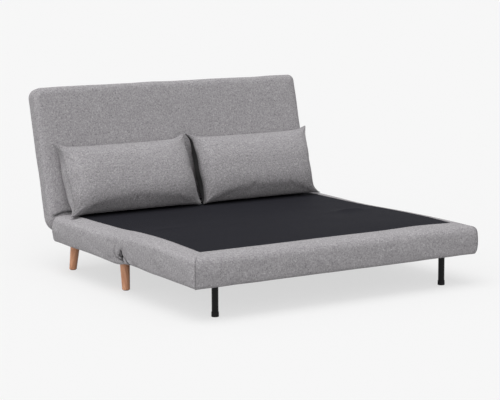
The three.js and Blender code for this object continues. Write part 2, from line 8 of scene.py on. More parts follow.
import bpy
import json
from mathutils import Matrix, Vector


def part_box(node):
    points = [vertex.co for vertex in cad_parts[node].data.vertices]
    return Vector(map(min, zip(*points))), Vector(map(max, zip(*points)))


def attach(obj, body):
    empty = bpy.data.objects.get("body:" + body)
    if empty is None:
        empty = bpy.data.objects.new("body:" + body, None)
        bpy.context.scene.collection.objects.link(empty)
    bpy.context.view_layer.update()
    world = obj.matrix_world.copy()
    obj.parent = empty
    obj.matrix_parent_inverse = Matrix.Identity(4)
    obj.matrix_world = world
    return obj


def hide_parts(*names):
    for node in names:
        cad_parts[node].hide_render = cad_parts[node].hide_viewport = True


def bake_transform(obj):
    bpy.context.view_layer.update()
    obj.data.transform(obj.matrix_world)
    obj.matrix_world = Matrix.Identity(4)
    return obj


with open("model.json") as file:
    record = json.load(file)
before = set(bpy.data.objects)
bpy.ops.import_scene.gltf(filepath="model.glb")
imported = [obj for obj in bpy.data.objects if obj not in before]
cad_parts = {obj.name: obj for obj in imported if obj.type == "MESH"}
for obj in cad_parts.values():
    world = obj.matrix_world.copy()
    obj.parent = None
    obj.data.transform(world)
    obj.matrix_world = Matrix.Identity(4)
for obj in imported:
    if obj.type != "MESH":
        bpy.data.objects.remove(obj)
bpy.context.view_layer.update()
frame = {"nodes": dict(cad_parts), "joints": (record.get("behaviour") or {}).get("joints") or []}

import json
import logging
import math
from dataclasses import dataclass, field
from enum import Enum
from typing import Any, Callable, Iterable, Sequence

import bmesh
import bpy
import numpy as np
from mathutils import Matrix, Vector

Array = np.ndarray
Piece = bpy.types.Object
Colour = tuple[float, float, float, float]
Profile = Sequence[tuple[float, float]]
Marks = dict[str, Array] | None
Values = dict[Any, Any] | None

report = logging.getLogger("sofa_bed")

HINGES = {joint["name"]: joint.get("pos_m") for joint in frame["joints"]}
_, FOLD_Y, FOLD_Z = HINGES["front_fold"]
_, PIVOT_Y, PIVOT_Z = HINGES["back_recline"]
FRONT_Y = round(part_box("front_upholstery")[0].y, 6)
HALF_WIDTH, END_Y, _ = (round(value, 6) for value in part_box("rear_upholstery")[1])
CLEAR_HEIGHT = 0.157
BACK_LEAN = math.radians(15)
LEAN_COS, LEAN_SIN = math.cos(BACK_LEAN), math.sin(BACK_LEAN)
QUARTER = math.pi / 2
MILLIMETRE = 0.001
UP = np.array([0, 0, 1.0])


class Side(Enum):
    """Left and right, as the sign of X."""

    LEFT = -1
    RIGHT = 1

    @property
    def word(self) -> str:
        """The side's word in piece names."""
        return self.name.lower()


class Hold(Enum):
    """How a sheet of cloth is held."""

    STRETCHED = "stretched"
    GATHERED = "gathered"


# Curves and grids


def smooth_step(low: float, high: float, value: Array) -> Array:
    """Rises from 0 at low to 1 at high, level at both ends: 3t^2 - 2t^3.

    Args:
        low: where the rise starts.
        high: where it ends; it may be below low, and then it falls.
        value: the places that are asked for.

    Returns:
        The share at each place.
    """
    share = np.clip((value - low) / (high - low), 0, 1)
    return share * share * (3 - 2 * share)


def bell(width: float, value: Array) -> Array:
    """A Gauss bell of height 1 about zero, exp(-(value / width)^2)."""
    return np.exp(-((value / width) ** 2))


def eased(gap: Array, soft: float) -> Array:
    """Gaps that stay above zero: below soft they fall off as an exponential."""
    return np.where(gap < soft, soft * np.exp((gap - soft) / soft), gap)


def bezier(first: Array, middle: Array, last: Array, share: float) -> Array:
    """A point of the quadratic curve from first to last that middle draws outwards."""
    return first * (1 - share) ** 2 + middle * 2 * share * (1 - share) + last * share**2


def joined(x: Array, y: Array, z: Array) -> Array:
    """Three coordinates as one array of places."""
    return np.stack(np.broadcast_arrays(x, y, z), axis=-1)


def inside_of(x: Array, y: Array, low: Sequence[float], high: Sequence[float]) -> Array:
    """How far inside the rectangle between two corners each place is."""
    return np.minimum(np.minimum(x - low[0], high[0] - x), np.minimum(y - low[1], high[1] - y))


def curve_through(points: Profile) -> Callable[[Array], Array]:
    """A smooth curve through measured points, level beyond its ends.

    The slope at a point is the mean of the slopes beside it, and a cubic Hermite joins
    each pair of points.

    Args:
        points: place and height pairs, in order of place.

    Returns:
        A function of an array of places.
    """
    places, heights = (np.array(column, float) for column in zip(*points))
    slopes = np.gradient(heights, places)
    slopes[[0, -1]] = 0

    def heights_at(value: Array) -> Array:
        """The curve's height at each place."""
        value = np.clip(np.asarray(value, float), places[0], places[-1])
        index = np.clip(np.searchsorted(places, value) - 1, 0, len(places) - 2)
        span = places[index + 1] - places[index]
        t = (value - places[index]) / span
        return (
            (2 * t**3 - 3 * t**2 + 1) * heights[index]
            + (t**3 - 2 * t**2 + t) * span * slopes[index]
            + (3 * t**2 - 2 * t**3) * heights[index + 1]
            + (t**3 - t**2) * span * slopes[index + 1]
        )

    return heights_at


def stations(start: float, stop: float, step_at: Callable[[Array], Array]) -> Array:
    """Places from start to stop, ends included, whose distance apart follows a wanted step.

    One over the step is summed along the way, and the places are where the sum passes
    equal parts of its whole.

    Args:
        start: the first place.
        stop: the last place, on either side of start.
        step_at: the wanted step at an array of places.

    Returns:
        The places.
    """
    fine = np.linspace(start, stop, 4000)
    density = 1 / step_at(fine)
    total = np.concatenate([[0], np.cumsum((density[1:] + density[:-1]) / 2 * np.abs(np.diff(fine)))])
    count = max(2, int(math.ceil(total[-1])))
    return np.interp(np.linspace(0, total[-1], count + 1), total, fine)


def waves(along: Array, across: Array, size: float, lengths: Sequence[float], seed: int) -> Array:
    """Gentle seeded unevenness: a sum of sine waves in random directions.

    Args:
        along: first coordinate of each place.
        across: second coordinate.
        size: height of the whole sum.
        lengths: a wave length for each group of three waves.
        seed: makes one piece's waves differ from another's.

    Returns:
        The height at each place.
    """
    chance = np.random.default_rng(seed)
    total = np.zeros(np.broadcast(along, across).shape)
    for length in np.repeat(lengths, 3):
        heading, phase = chance.uniform(0, 2 * math.pi, 2)
        way = along * math.cos(heading) + across * math.sin(heading)
        total = total + np.sin(2 * math.pi / length * way + phase)
    return size * total / math.sqrt(4.5 * len(lengths))


# Meshes


def mesh_object(name: str, points: Array, faces: Array, marks: Marks = None, weld: float = 0.0) -> Piece:
    """Puts points and faces into a new object at the origin, with its faces outwards.

    The faces are turned round where the volume that they enclose is below zero: a sum of
    tetrahedra from the origin to both halves of each face.

    Args:
        name: the piece's name.
        points: one row for each point.
        faces: four point numbers for each face.
        marks: values for each point, for the finish to read.
        weld: points nearer together than this become one, as at a pole.

    Returns:
        The object, linked into the scene.
    """
    points = np.asarray(points, float).reshape(-1, 3)
    a, b, c, d = (points[faces[:, corner]] for corner in range(4))
    if np.einsum("ij,ij->", a, np.cross(b, c) + np.cross(c, d)) < 0:
        faces = faces[:, ::-1]
    mesh = bpy.data.meshes.new(name)
    mesh.from_pydata(points.tolist(), [], faces.tolist())
    for mark, values in (marks or {}).items():
        attribute = mesh.attributes.new(mark, "FLOAT", "POINT")
        attribute.data.foreach_set("value", np.asarray(values, np.float32).ravel())
    if weld:
        edit = bmesh.new()
        edit.from_mesh(mesh)
        bmesh.ops.remove_doubles(edit, verts=edit.verts, dist=weld)
        bmesh.ops.dissolve_degenerate(edit, edges=edit.edges, dist=weld / 10)
        edit.to_mesh(mesh)
        edit.free()
    mesh.polygons.foreach_set("use_smooth", np.ones(len(mesh.polygons), bool))
    mesh.validate()
    mesh.update()
    made = bpy.data.objects.new(name, mesh)
    bpy.context.scene.collection.objects.link(made)
    return made


def ring_surface(
    name: str, grid: Array, marks: Marks = None, closed_rows: bool = False, weld: float = 0.0
) -> Piece:
    """Skins a grid whose columns go right round.

    Args:
        name: the piece's name.
        grid: points as rows x columns x 3; the last column joins the first.
        marks: values for each grid point.
        closed_rows: joins the last row to the first, as in a tyre.
        weld: as in mesh_object, for rows that shrink to a pole.

    Returns:
        The object.
    """
    rows, columns = grid.shape[:2]
    row_count = rows if closed_rows else rows - 1
    row, column = np.meshgrid(np.arange(row_count), np.arange(columns), indexing="ij")
    corners = [
        ((row + down) % rows) * columns + (column + right) % columns
        for down, right in ((0, 0), (0, 1), (1, 1), (1, 0))
    ]
    return mesh_object(name, grid, np.stack(corners, axis=-1).reshape(-1, 4), marks, weld)


def slab(name: str, upper: Array, lower: Array, kept: Array | None = None, marks: Marks = None) -> Piece:
    """A closed sheet or pad between two grids, with windows where cells are left out.

    Each kept cell gives one face of the upper grid and one of the lower. Wherever a kept
    cell has no kept neighbour, a wall joins the two grids.

    Args:
        name: the piece's name.
        upper: upper points as rows x columns x 3.
        lower: lower points, as many.
        kept: True for the cells that are there; all of them without it.
        marks: values for each point of the upper grid, used for both grids.

    Returns:
        The object.
    """
    rows, columns = upper.shape[:2]
    below = rows * columns
    if kept is None:
        kept = np.ones((rows - 1, columns - 1), bool)
    numbers = np.arange(below).reshape(rows, columns)
    corners = [numbers[:-1, :-1], numbers[:-1, 1:], numbers[1:, 1:], numbers[1:, :-1]]
    top = np.stack(corners, axis=-1)[kept]
    padded = np.pad(kept, 1)
    neighbours = [padded[:-2, 1:-1], padded[1:-1, 2:], padded[2:, 1:-1], padded[1:-1, :-2]]
    walls = []
    for edge, neighbour in enumerate(neighbours):
        open_cells = kept & ~neighbour
        first, second = corners[edge][open_cells], corners[(edge + 1) % 4][open_cells]
        walls.append(np.stack([second, first, first + below, second + below], axis=-1))
    faces = np.concatenate([top, top[:, ::-1] + below, *walls])
    used, renumbered = np.unique(faces, return_inverse=True)
    points = np.concatenate([upper.reshape(-1, 3), lower.reshape(-1, 3)])[used]
    doubled = {mark: np.tile(values.ravel(), 2)[used] for mark, values in (marks or {}).items()}
    return mesh_object(name, points, renumbered.reshape(faces.shape), doubled)


def turned(name: str, profile: Profile | Array, middles: Any, sides: int = 56, poles: bool = False) -> Piece:
    """Level circles of the profile's radii and heights, each about its own middle.

    Args:
        name: the piece's name.
        profile: rows of radius and height.
        middles: X and Y of the circles' middles, one row for all or one for each.
        sides: points round a circle.
        poles: the profile starts and ends on its axis instead of closing on itself.

    Returns:
        The object.
    """
    radii, heights = np.array(profile, float).T[:, :, None]
    middle_x, middle_y = np.broadcast_to(middles, (len(radii), 2)).T[:, :, None]
    angles = np.linspace(0, 2 * math.pi, sides, endpoint=False)
    grid = joined(middle_x + radii * np.cos(angles), middle_y + radii * np.sin(angles), heights)
    return ring_surface(name, grid, closed_rows=not poles, weld=1e-6 if poles else 0.0)


def applied(piece: Piece) -> Piece:
    """Replaces a piece's mesh by what its modifiers make of it, and removes them."""
    bpy.context.view_layer.update()
    seen = piece.evaluated_get(bpy.context.evaluated_depsgraph_get())
    finished = bpy.data.meshes.new_from_object(seen)
    piece.modifiers.clear()
    piece.data = finished
    return piece


def places(piece: Piece) -> Array:
    """The piece's points as an array."""
    found = np.zeros(len(piece.data.vertices) * 3)
    piece.data.vertices.foreach_get("co", found)
    return found.reshape(-1, 3)


def put_places(piece: Piece, points: Array) -> None:
    """Gives the piece's points new places."""
    piece.data.vertices.foreach_set("co", np.asarray(points, np.float32).ravel())
    piece.data.update()


# Shader maths


def linear(*levels: int) -> Colour:
    """A colour as it is seen, 0 to 255, as the linear colour that a socket takes."""
    shares = [level / 255 for level in levels]
    return (*(s / 12.92 if s <= 0.04045 else ((s + 0.055) / 1.055) ** 2.4 for s in shares), 1.0)


class Signal:
    """A node's output that takes part in sums as a number does."""

    def __init__(self, graph: "Graph", socket: bpy.types.NodeSocket) -> None:
        """Wraps the socket of a node in the graph."""
        self.graph = graph
        self.socket = socket

    def _math(self, operation: str, first: Any, second: Any = 0.0) -> "Signal":
        """One Math node on two values or signals."""
        return self.graph.signal("ShaderNodeMath", 0, {"operation": operation}, {0: first, 1: second})

    def __add__(self, other: Any) -> "Signal":
        """Sum."""
        return self._math("ADD", self, other)

    def __sub__(self, other: Any) -> "Signal":
        """Difference."""
        return self._math("SUBTRACT", self, other)

    def __rsub__(self, other: Any) -> "Signal":
        """Difference from a plain number."""
        return self._math("SUBTRACT", other, self)

    def __mul__(self, other: Any) -> "Signal":
        """Product."""
        return self._math("MULTIPLY", self, other)

    __radd__ = __add__

    def sine(self) -> "Signal":
        """Sine, in radians."""
        return self._math("SINE", self)

    def between(self, low: float, high: float) -> "Signal":
        """0 below low, 1 above high and smooth between them."""
        settings = {"interpolation_type": "SMOOTHSTEP", "clamp": True}
        inputs = {"Value": self, "From Min": low, "From Max": high, "To Min": 0.0, "To Max": 1.0}
        return self.graph.signal("ShaderNodeMapRange", "Result", settings, inputs)


class Graph:
    """The nodes of one material or of the world, made in one place."""

    def __init__(self, owner: bpy.types.Material | bpy.types.World) -> None:
        """Starts with an empty tree."""
        owner.use_nodes = True
        self.tree = owner.node_tree
        self.tree.nodes.clear()

    def node(self, kind: str, settings: Values = None, inputs: Values = None) -> bpy.types.Node:
        """Adds one node.

        Args:
            kind: the node's type.
            settings: its settings, set first.
            inputs: the values or signals of its sockets, by name or number.

        Returns:
            The node.
        """
        made = self.tree.nodes.new(kind)
        for key, value in (settings or {}).items():
            setattr(made, key, value)
        for key, value in (inputs or {}).items():
            if isinstance(value, Signal):
                self.tree.links.new(value.socket, made.inputs[key])
            else:
                made.inputs[key].default_value = value
        return made

    def signal(self, kind: str, output: Any, settings: Values = None, inputs: Values = None) -> Signal:
        """Adds one node and gives one of its outputs."""
        return Signal(self, self.node(kind, settings, inputs).outputs[output])

    def object_place(self, stretch: tuple[float, float, float] = (1, 1, 1)) -> Signal:
        """The place on the piece, in metres, times a stretch for each axis."""
        place = self.signal("ShaderNodeTexCoord", "Object")
        return self.signal("ShaderNodeMapping", "Vector", None, {"Vector": place, "Scale": stretch})

    def axis(self, place: Signal, axis: str) -> Signal:
        """One coordinate of a place, X, Y or Z."""
        return self.signal("ShaderNodeSeparateXYZ", axis, None, {"Vector": place})

    def noise(self, place: Signal, scale: float, detail: float = 2.0, rough: float = 0.5) -> Signal:
        """Cloudy values about one half."""
        inputs = {"Vector": place, "Scale": scale, "Detail": detail, "Roughness": rough}
        return self.signal("ShaderNodeTexNoise", "Fac", {"noise_dimensions": "3D"}, inputs)

    def streaks(self, stretch: tuple[float, float, float], detail: float = 2.0, rough: float = 0.5) -> Signal:
        """Noise drawn out along an axis, by how often it changes along each, per metre."""
        return self.noise(self.object_place(stretch), 1.0, detail, rough)

    def mix(self, share: Any, first: Any, second: Any, blend: str = "MIX") -> Signal:
        """A colour between two, at a share from 0 to 1."""
        settings = {"data_type": "RGBA", "blend_type": blend, "clamp_factor": True}
        return self.signal("ShaderNodeMix", 2, settings, {0: share, 6: first, 7: second})

    def surface(
        self, colour: Any, shade: Signal, roughness: Any, specular: float, height: Signal, bump: Any
    ) -> dict[str, Any]:
        """The sockets that most finishes have.

        Args:
            colour: the colour before it is shaded.
            shade: what each of its channels is multiplied by.
            roughness: a value or signal.
            specular: the specular level.
            height: a height of 0 to 1.
            bump: the depth in metres that 1 stands for, and the bump's strength.

        Returns:
            The shader's sockets, as values or signals.
        """
        channels = {"Red": shade, "Green": shade, "Blue": shade}
        grey = self.signal("ShaderNodeCombineColor", "Color", None, channels)
        return {
            "Base Color": self.mix(1.0, colour, grey, "MULTIPLY"),
            "Roughness": roughness,
            "Specular IOR Level": specular,
            "Normal": self.bump(height, *bump),
        }

    def bump(self, height: Signal, depth: float, strength: float) -> Signal:
        """A bumped normal from a height of 0 to 1 times a depth in metres."""
        inputs = {"Height": height, "Distance": depth, "Strength": strength}
        return self.signal("ShaderNodeBump", "Normal", None, inputs)


# Finishes


@dataclass(frozen=True)
class Finish:
    """What every finish has: a name, a slot name that is not used, and nodes for what varies."""

    name: str
    slot: str

    def fill(self, graph: Graph) -> dict[str, Any]:
        """The shader's sockets, as values or signals; each finish has its own."""
        raise NotImplementedError

    def dress(self, piece: Piece) -> Piece:
        """Puts the finish on a new piece or a CAD node, and builds it the first time."""
        material = bpy.data.materials.get(self.name)
        if material is None:
            material = bpy.data.materials.new(self.name)
            graph = Graph(material)
            shader = graph.signal("ShaderNodeBsdfPrincipled", 0, None, self.fill(graph))
            graph.node("ShaderNodeOutputMaterial", None, {"Surface": shader})
        for place in piece.material_slots:
            place.material = material
        if not piece.material_slots:
            piece.data.materials.append(material)
        return piece

    def hand_over(self, piece: Piece, body: str | None, *nodes: str) -> Piece:
        """Finishes a new piece, hides the nodes that it stands for, and hangs it on its body if it has one.
        """
        self.dress(piece)
        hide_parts(*nodes)
        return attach(piece, body) if body else piece


@dataclass(frozen=True)
class HeatheredFabric(Finish):
    """A matt woven upholstery cloth of light and dark yarns."""

    colour: Colour = linear(165, 162, 165)
    dark: Colour = linear(116, 114, 116)
    light: Colour = linear(208, 206, 207)
    thread: float = 0.0021
    streak: float = 0.011
    fleck: float = 0.0042
    mottle: float = 0.0078
    weave_depth: float = 0.0005

    def weave(self, graph: Graph, place: Signal) -> Signal:
        """Crossed threads: products of sines along each pair of axes, added up.

        On a face square to one axis that axis is constant, so the other two draw the
        cloth's plain weave there.
        """
        x, y, z = ((graph.axis(place, axis) * (math.pi / self.thread)).sine() for axis in "XYZ")
        return (x * y + y * z + z * x) * 0.33 + 0.5

    def fill(self, graph: Graph) -> dict[str, Any]:
        """Yarn streaks, flecks and mottles over a soft cloudiness, seams and painted shade darker and pressed
        in.
        """
        place = graph.object_place()
        long, across = 1 / self.streak, 1.6 / self.fleck
        stretches = ((long, across, across), (across, long, across), (across, across, long))
        x, y, z = (graph.streaks(stretch, 2.0, 0.65) for stretch in stretches)
        flecks = graph.noise(place, 1 / self.fleck, 3.0, 0.75)
        mottles = graph.noise(place, 1 / self.mottle, 4.0, 0.7)
        yarn = ((x + y + z) * (0.3 / 3) + flecks * 0.28 + mottles * 0.42 - 0.5) * 5.8 + 0.5
        cloud = graph.noise(place, 9.0, 3.0, 0.6)
        weave = self.weave(graph, place)
        seam = graph.signal("ShaderNodeAttribute", "Fac", {"attribute_name": "seam"})
        pile = yarn + (weave - 0.5) * 0.25
        base = graph.mix(pile.between(-0.25, 0.5), self.dark, self.colour)
        base = graph.mix(pile.between(0.5, 1.25), base, self.light)
        # The seam mark darkens real seams, and also carries painted shade: the cover's gathers and creases,
        # the backrest's crevice, the pillows' lower fronts and the gap between them.
        shade = (0.955 + cloud * 0.09) * (1.0 - seam * 0.34)
        height = weave * 0.55 + flecks * 0.45 - seam * 1.2
        sheen = {"Sheen Weight": 0.06, "Sheen Roughness": 0.6}
        return graph.surface(base, shade, 0.93, 0.12, height, (self.weave_depth, 0.8)) | sheen


@dataclass(frozen=True)
class DeckLining(Finish):
    """The smooth charcoal cloth of the lying surface, finely ribbed and faintly sheened."""

    colour: Colour = linear(38, 38, 43)
    rib: float = 0.0011

    def fill(self, graph: Graph) -> dict[str, Any]:
        """Fine ribs both ways, and a soft cloudiness in colour and gloss."""
        place = graph.object_place()
        x, y = ((graph.axis(place, axis) * (2 * math.pi / self.rib)).sine() for axis in "XY")
        ribs = x * y
        cloud = graph.noise(place, 3.2, 3.0, 0.55)
        lint = graph.noise(place, 420.0, 2.0, 0.7)
        shade = 0.86 + cloud * 0.2 + lint * 0.1 + ribs * 0.05
        height = ribs * 0.5 + lint * 0.5
        return graph.surface(self.colour, shade, 0.7 + cloud * 0.12, 0.025, height, (0.0002, 0.5))


@dataclass(frozen=True)
class BackingCloth(Finish):
    """The black spun cloth that closes the underside."""

    colour: Colour = linear(33, 33, 35)

    def fill(self, graph: Graph) -> dict[str, Any]:
        """Loose fibres and the pressed dots of spun cloth."""
        fibres = graph.streaks((700, 160, 160), 3.0, 0.7)
        spots = {"Vector": graph.object_place(), "Scale": 420.0}
        dots = graph.signal("ShaderNodeTexVoronoi", "Distance", {"feature": "F1"}, spots).between(0.1, 0.5)
        shade = 0.7 + fibres * 0.45 + dots * 0.2
        return graph.surface(self.colour, shade, 0.9, 0.15, fibres * 0.5 + dots * 0.5, (0.0003, 0.6))


@dataclass(frozen=True)
class StainedBeech(Finish):
    """Beech legs with a warm stain under a satin lacquer."""

    dark: Colour = linear(202, 135, 100)
    light: Colour = linear(250, 188, 148)
    ring: float = 0.009

    def fill(self, graph: Graph) -> dict[str, Any]:
        """Growth lines that run down the leg, short pores and a slow drift of colour."""
        bent = graph.streaks((6, 6, 1.2))
        x, y = (graph.axis(graph.object_place(), axis) for axis in "XY")
        rings = ((x + y * 0.6 + bent * 0.02) * (2 * math.pi / self.ring)).sine()
        pores = graph.streaks((900, 900, 60), 2.0, 0.6).between(0.58, 0.74)
        colour = graph.mix(rings * 0.22 + 0.5 + (bent - 0.5) * 0.6, self.dark, self.light)
        shade, roughness = 1.0 - pores * 0.22, 0.42 + pores * 0.2
        lacquer = {"Coat Weight": 0.15, "Coat Roughness": 0.3}
        return graph.surface(colour, shade, roughness, 0.35, 1.0 - pores, (0.00015, 0.5)) | lacquer


@dataclass(frozen=True)
class PlanedTimber(Finish):
    """Plain pine of the hidden frames."""

    dark: Colour = linear(176, 132, 84)
    light: Colour = linear(216, 180, 130)

    def fill(self, graph: Graph) -> dict[str, Any]:
        """Wide grain along X, with a few darker lines."""
        grain = graph.streaks((2.5, 70, 70), 4.0, 0.6)
        lines = graph.streaks((1.2, 260, 260)).between(0.56, 0.7)
        colour = graph.mix(grain.between(0.3, 0.7), self.dark, self.light)
        return graph.surface(colour, 1.0 - lines * 0.2, 0.66 + lines * 0.1, 0.3, grain, (0.0006, 0.5))


@dataclass(frozen=True)
class BlackCoat(Finish):
    """Something black all over, finely pebbled: powder coat on steel, or moulded rubber.

    Cloud and grain are a noise's scale, detail and roughness. Shade and gloss are the
    shader's values where the cloud is 0, and what the cloud adds to them.
    """

    colour: Colour
    cloud: tuple[float, float, float]
    grain: tuple[float, float, float]
    shade: tuple[float, float]
    gloss: tuple[float, float]
    specular: float
    bump: float

    def fill(self, graph: Graph) -> dict[str, Any]:
        """The fine grain, and a little unevenness of colour and gloss."""
        cloud, grain = (graph.noise(graph.object_place(), *noise) for noise in (self.cloud, self.grain))
        shade, gloss = (base + cloud * more for base, more in (self.shade, self.gloss))
        return graph.surface(self.colour, shade, gloss, self.specular, grain, (0.0001, self.bump))


@dataclass(frozen=True)
class ZincPlate(Finish):
    """Bright zinc-plated steel of hinges and plates."""

    colour: Colour = linear(188, 190, 192)
    worn: Colour = linear(150, 151, 150)

    def fill(self, graph: Graph) -> dict[str, Any]:
        """Cloudy plating with fine drawn lines."""
        cloud = graph.noise(graph.object_place(), 60.0, 3.0, 0.6)
        return {
            "Base Color": graph.mix(cloud.between(0.35, 0.7), self.colour, self.worn),
            "Metallic": 1.0,
            "Roughness": 0.28 + cloud * 0.22,
            "Normal": graph.bump(graph.streaks((400, 400, 30)), 0.00006, 0.4),
        }


GREY_FABRIC = HeatheredFabric("grey_fabric_woven", "grey_fabric")
DECK_CLOTH = DeckLining("deck_cloth_charcoal", "deck_cloth")
BACKING = BackingCloth("backing_cloth_spun", "backing_cloth")
BEECH = StainedBeech("beech_stained", "beech")
TIMBER = PlanedTimber("timber_planed", "timber")
ZINC = ZincPlate("zinc_steel_plated", "zinc_steel")
BLACK_STEEL = BlackCoat(
    "black_steel_coated", "black_steel", linear(12, 13, 14), cloud=(30.0, 2.0, 0.5), grain=(900.0, 2.0, 0.5),
    shade=(0.85, 0.3), gloss=(0.16, 0.10), specular=0.17, bump=0.22,
)
RUBBER = BlackCoat(
    "black_rubber_moulded", "black_rubber", linear(16, 16, 17), cloud=(45.0, 3.0, 0.6),
    grain=(1100.0, 1.0, 0.5), shade=(0.75, 0.55), gloss=(0.62, 0.15), specular=0.22, bump=0.5,
)


# The studio


@dataclass
class Studio:
    """Floor, light and camera, none of them part of the sofa bed."""

    backdrop: Colour = linear(246, 246, 246)
    bounce: Colour = (0.44, 0.44, 0.44, 1.0)
    floor_reach: float = 80.0
    backdrop_share: float = 0.69
    sky: float = 0.42
    lamps: tuple[tuple[float, ...], ...] = ((-0.09, 0.0, 0.43, 50.0), (-0.43, -0.34, 0.09, 110.0))
    lamp_away: float = 8.0
    camera_place: tuple[float, float, float] = (-4.2755, -6.89616, 1.6157)
    azimuth: float = 31.955
    elevation: float = 8.773
    roll: float = -0.278
    lens: float = 120.946
    sensor: float = 36.0
    sight: float = 400.0

    def build_floor(self) -> Piece:
        """A wide pale floor that keeps the shadow.

        To the camera it is part backdrop colour and part lit floor, so the shadow stays as
        light as a studio's; to everything else it is a plain grey floor.
        """
        corners = np.array([[-1, -1, 0], [1, -1, 0], [1, 1, 0], [-1, 1, 0]]) * self.floor_reach
        floor = mesh_object("floor", corners, np.array([[0, 1, 2, 3]]))
        material = bpy.data.materials.new("studio_floor")
        graph = Graph(material)
        seen = self._seen(graph)
        colour = graph.mix(seen, self.bounce, self.backdrop)
        lit = graph.signal("ShaderNodeBsdfDiffuse", "BSDF", None, {"Color": colour})
        glow = graph.signal("ShaderNodeEmission", "Emission", None, {"Color": self.backdrop})
        parts = {0: seen * self.backdrop_share, 1: lit, 2: glow}
        both = graph.signal("ShaderNodeMixShader", "Shader", None, parts)
        graph.node("ShaderNodeOutputMaterial", None, {"Surface": both})
        floor.data.materials.append(material)
        return floor

    def _seen(self, graph: Graph) -> Signal:
        """1 for rays from the camera and for what gloss and glass show."""
        path = graph.node("ShaderNodeLightPath")
        names = ("Is Camera Ray", "Is Glossy Ray", "Is Transmission Ray")
        camera, glossy, through = (Signal(graph, path.outputs[name]) for name in names)
        return (camera + glossy + through).between(0.0, 1.0)

    def build_light(self) -> None:
        """A plain sky, a soft light from above, and a wide low one from the front left.

        A lamp's energy is pi times the length of its vector, and its last value is its
        spread in degrees.
        """
        world = bpy.data.worlds.new("studio_sky")
        bpy.context.scene.world = world
        graph = Graph(world)
        skies = (((1, 1, 1, 1), self.sky), (self.backdrop, 1.0))
        ambient, backdrop = (
            graph.signal("ShaderNodeBackground", "Background", None, {"Color": colour, "Strength": strength})
            for colour, strength in skies
        )
        parts = {0: self._seen(graph), 1: ambient, 2: backdrop}
        both = graph.signal("ShaderNodeMixShader", "Shader", None, parts)
        graph.node("ShaderNodeOutputWorld", None, {"Surface": both})
        for number, (*towards, spread) in enumerate(self.lamps):
            towards = Vector(towards)
            lamp = bpy.data.lights.new(f"soft_light_{number}", "SUN")
            lamp.energy, lamp.angle = math.pi * towards.length, math.radians(spread)
            light = bpy.data.objects.new(f"soft_light_{number}", lamp)
            light.rotation_mode = "QUATERNION"
            light.rotation_quaternion = towards.to_track_quat("Z", "Y")
            light.location = towards * self.lamp_away
            bpy.context.scene.collection.objects.link(light)

    def build_camera(self) -> None:
        """The camera at the photograph's angle: level axes turned by azimuth, tilt and roll."""
        azimuth, elevation, roll = map(math.radians, (self.azimuth, self.elevation, self.roll))
        level = math.cos(elevation)
        ahead = Vector((math.sin(azimuth) * level, math.cos(azimuth) * level, -math.sin(elevation)))
        right = ahead.cross(Vector(UP)).normalized()
        up = right.cross(ahead)
        rolled_right = right * math.cos(roll) + up * math.sin(roll)
        rolled_up = up * math.cos(roll) - right * math.sin(roll)
        data = bpy.data.cameras.new("camera")
        data.lens, data.sensor_width, data.clip_end = self.lens, self.sensor, self.sight
        camera = bpy.data.objects.new("camera", data)
        axes = Matrix((rolled_right, rolled_up, -ahead)).transposed().to_4x4()
        camera.matrix_world = Matrix.Translation(self.camera_place) @ axes
        bpy.context.scene.collection.objects.link(camera)
        bpy.context.scene.camera = camera

    def build(self) -> None:
        """Makes the whole studio."""
        bpy.context.scene.view_settings.view_transform = "Standard"
        self.build_floor()
        self.build_light()
        self.build_camera()


# The mattress


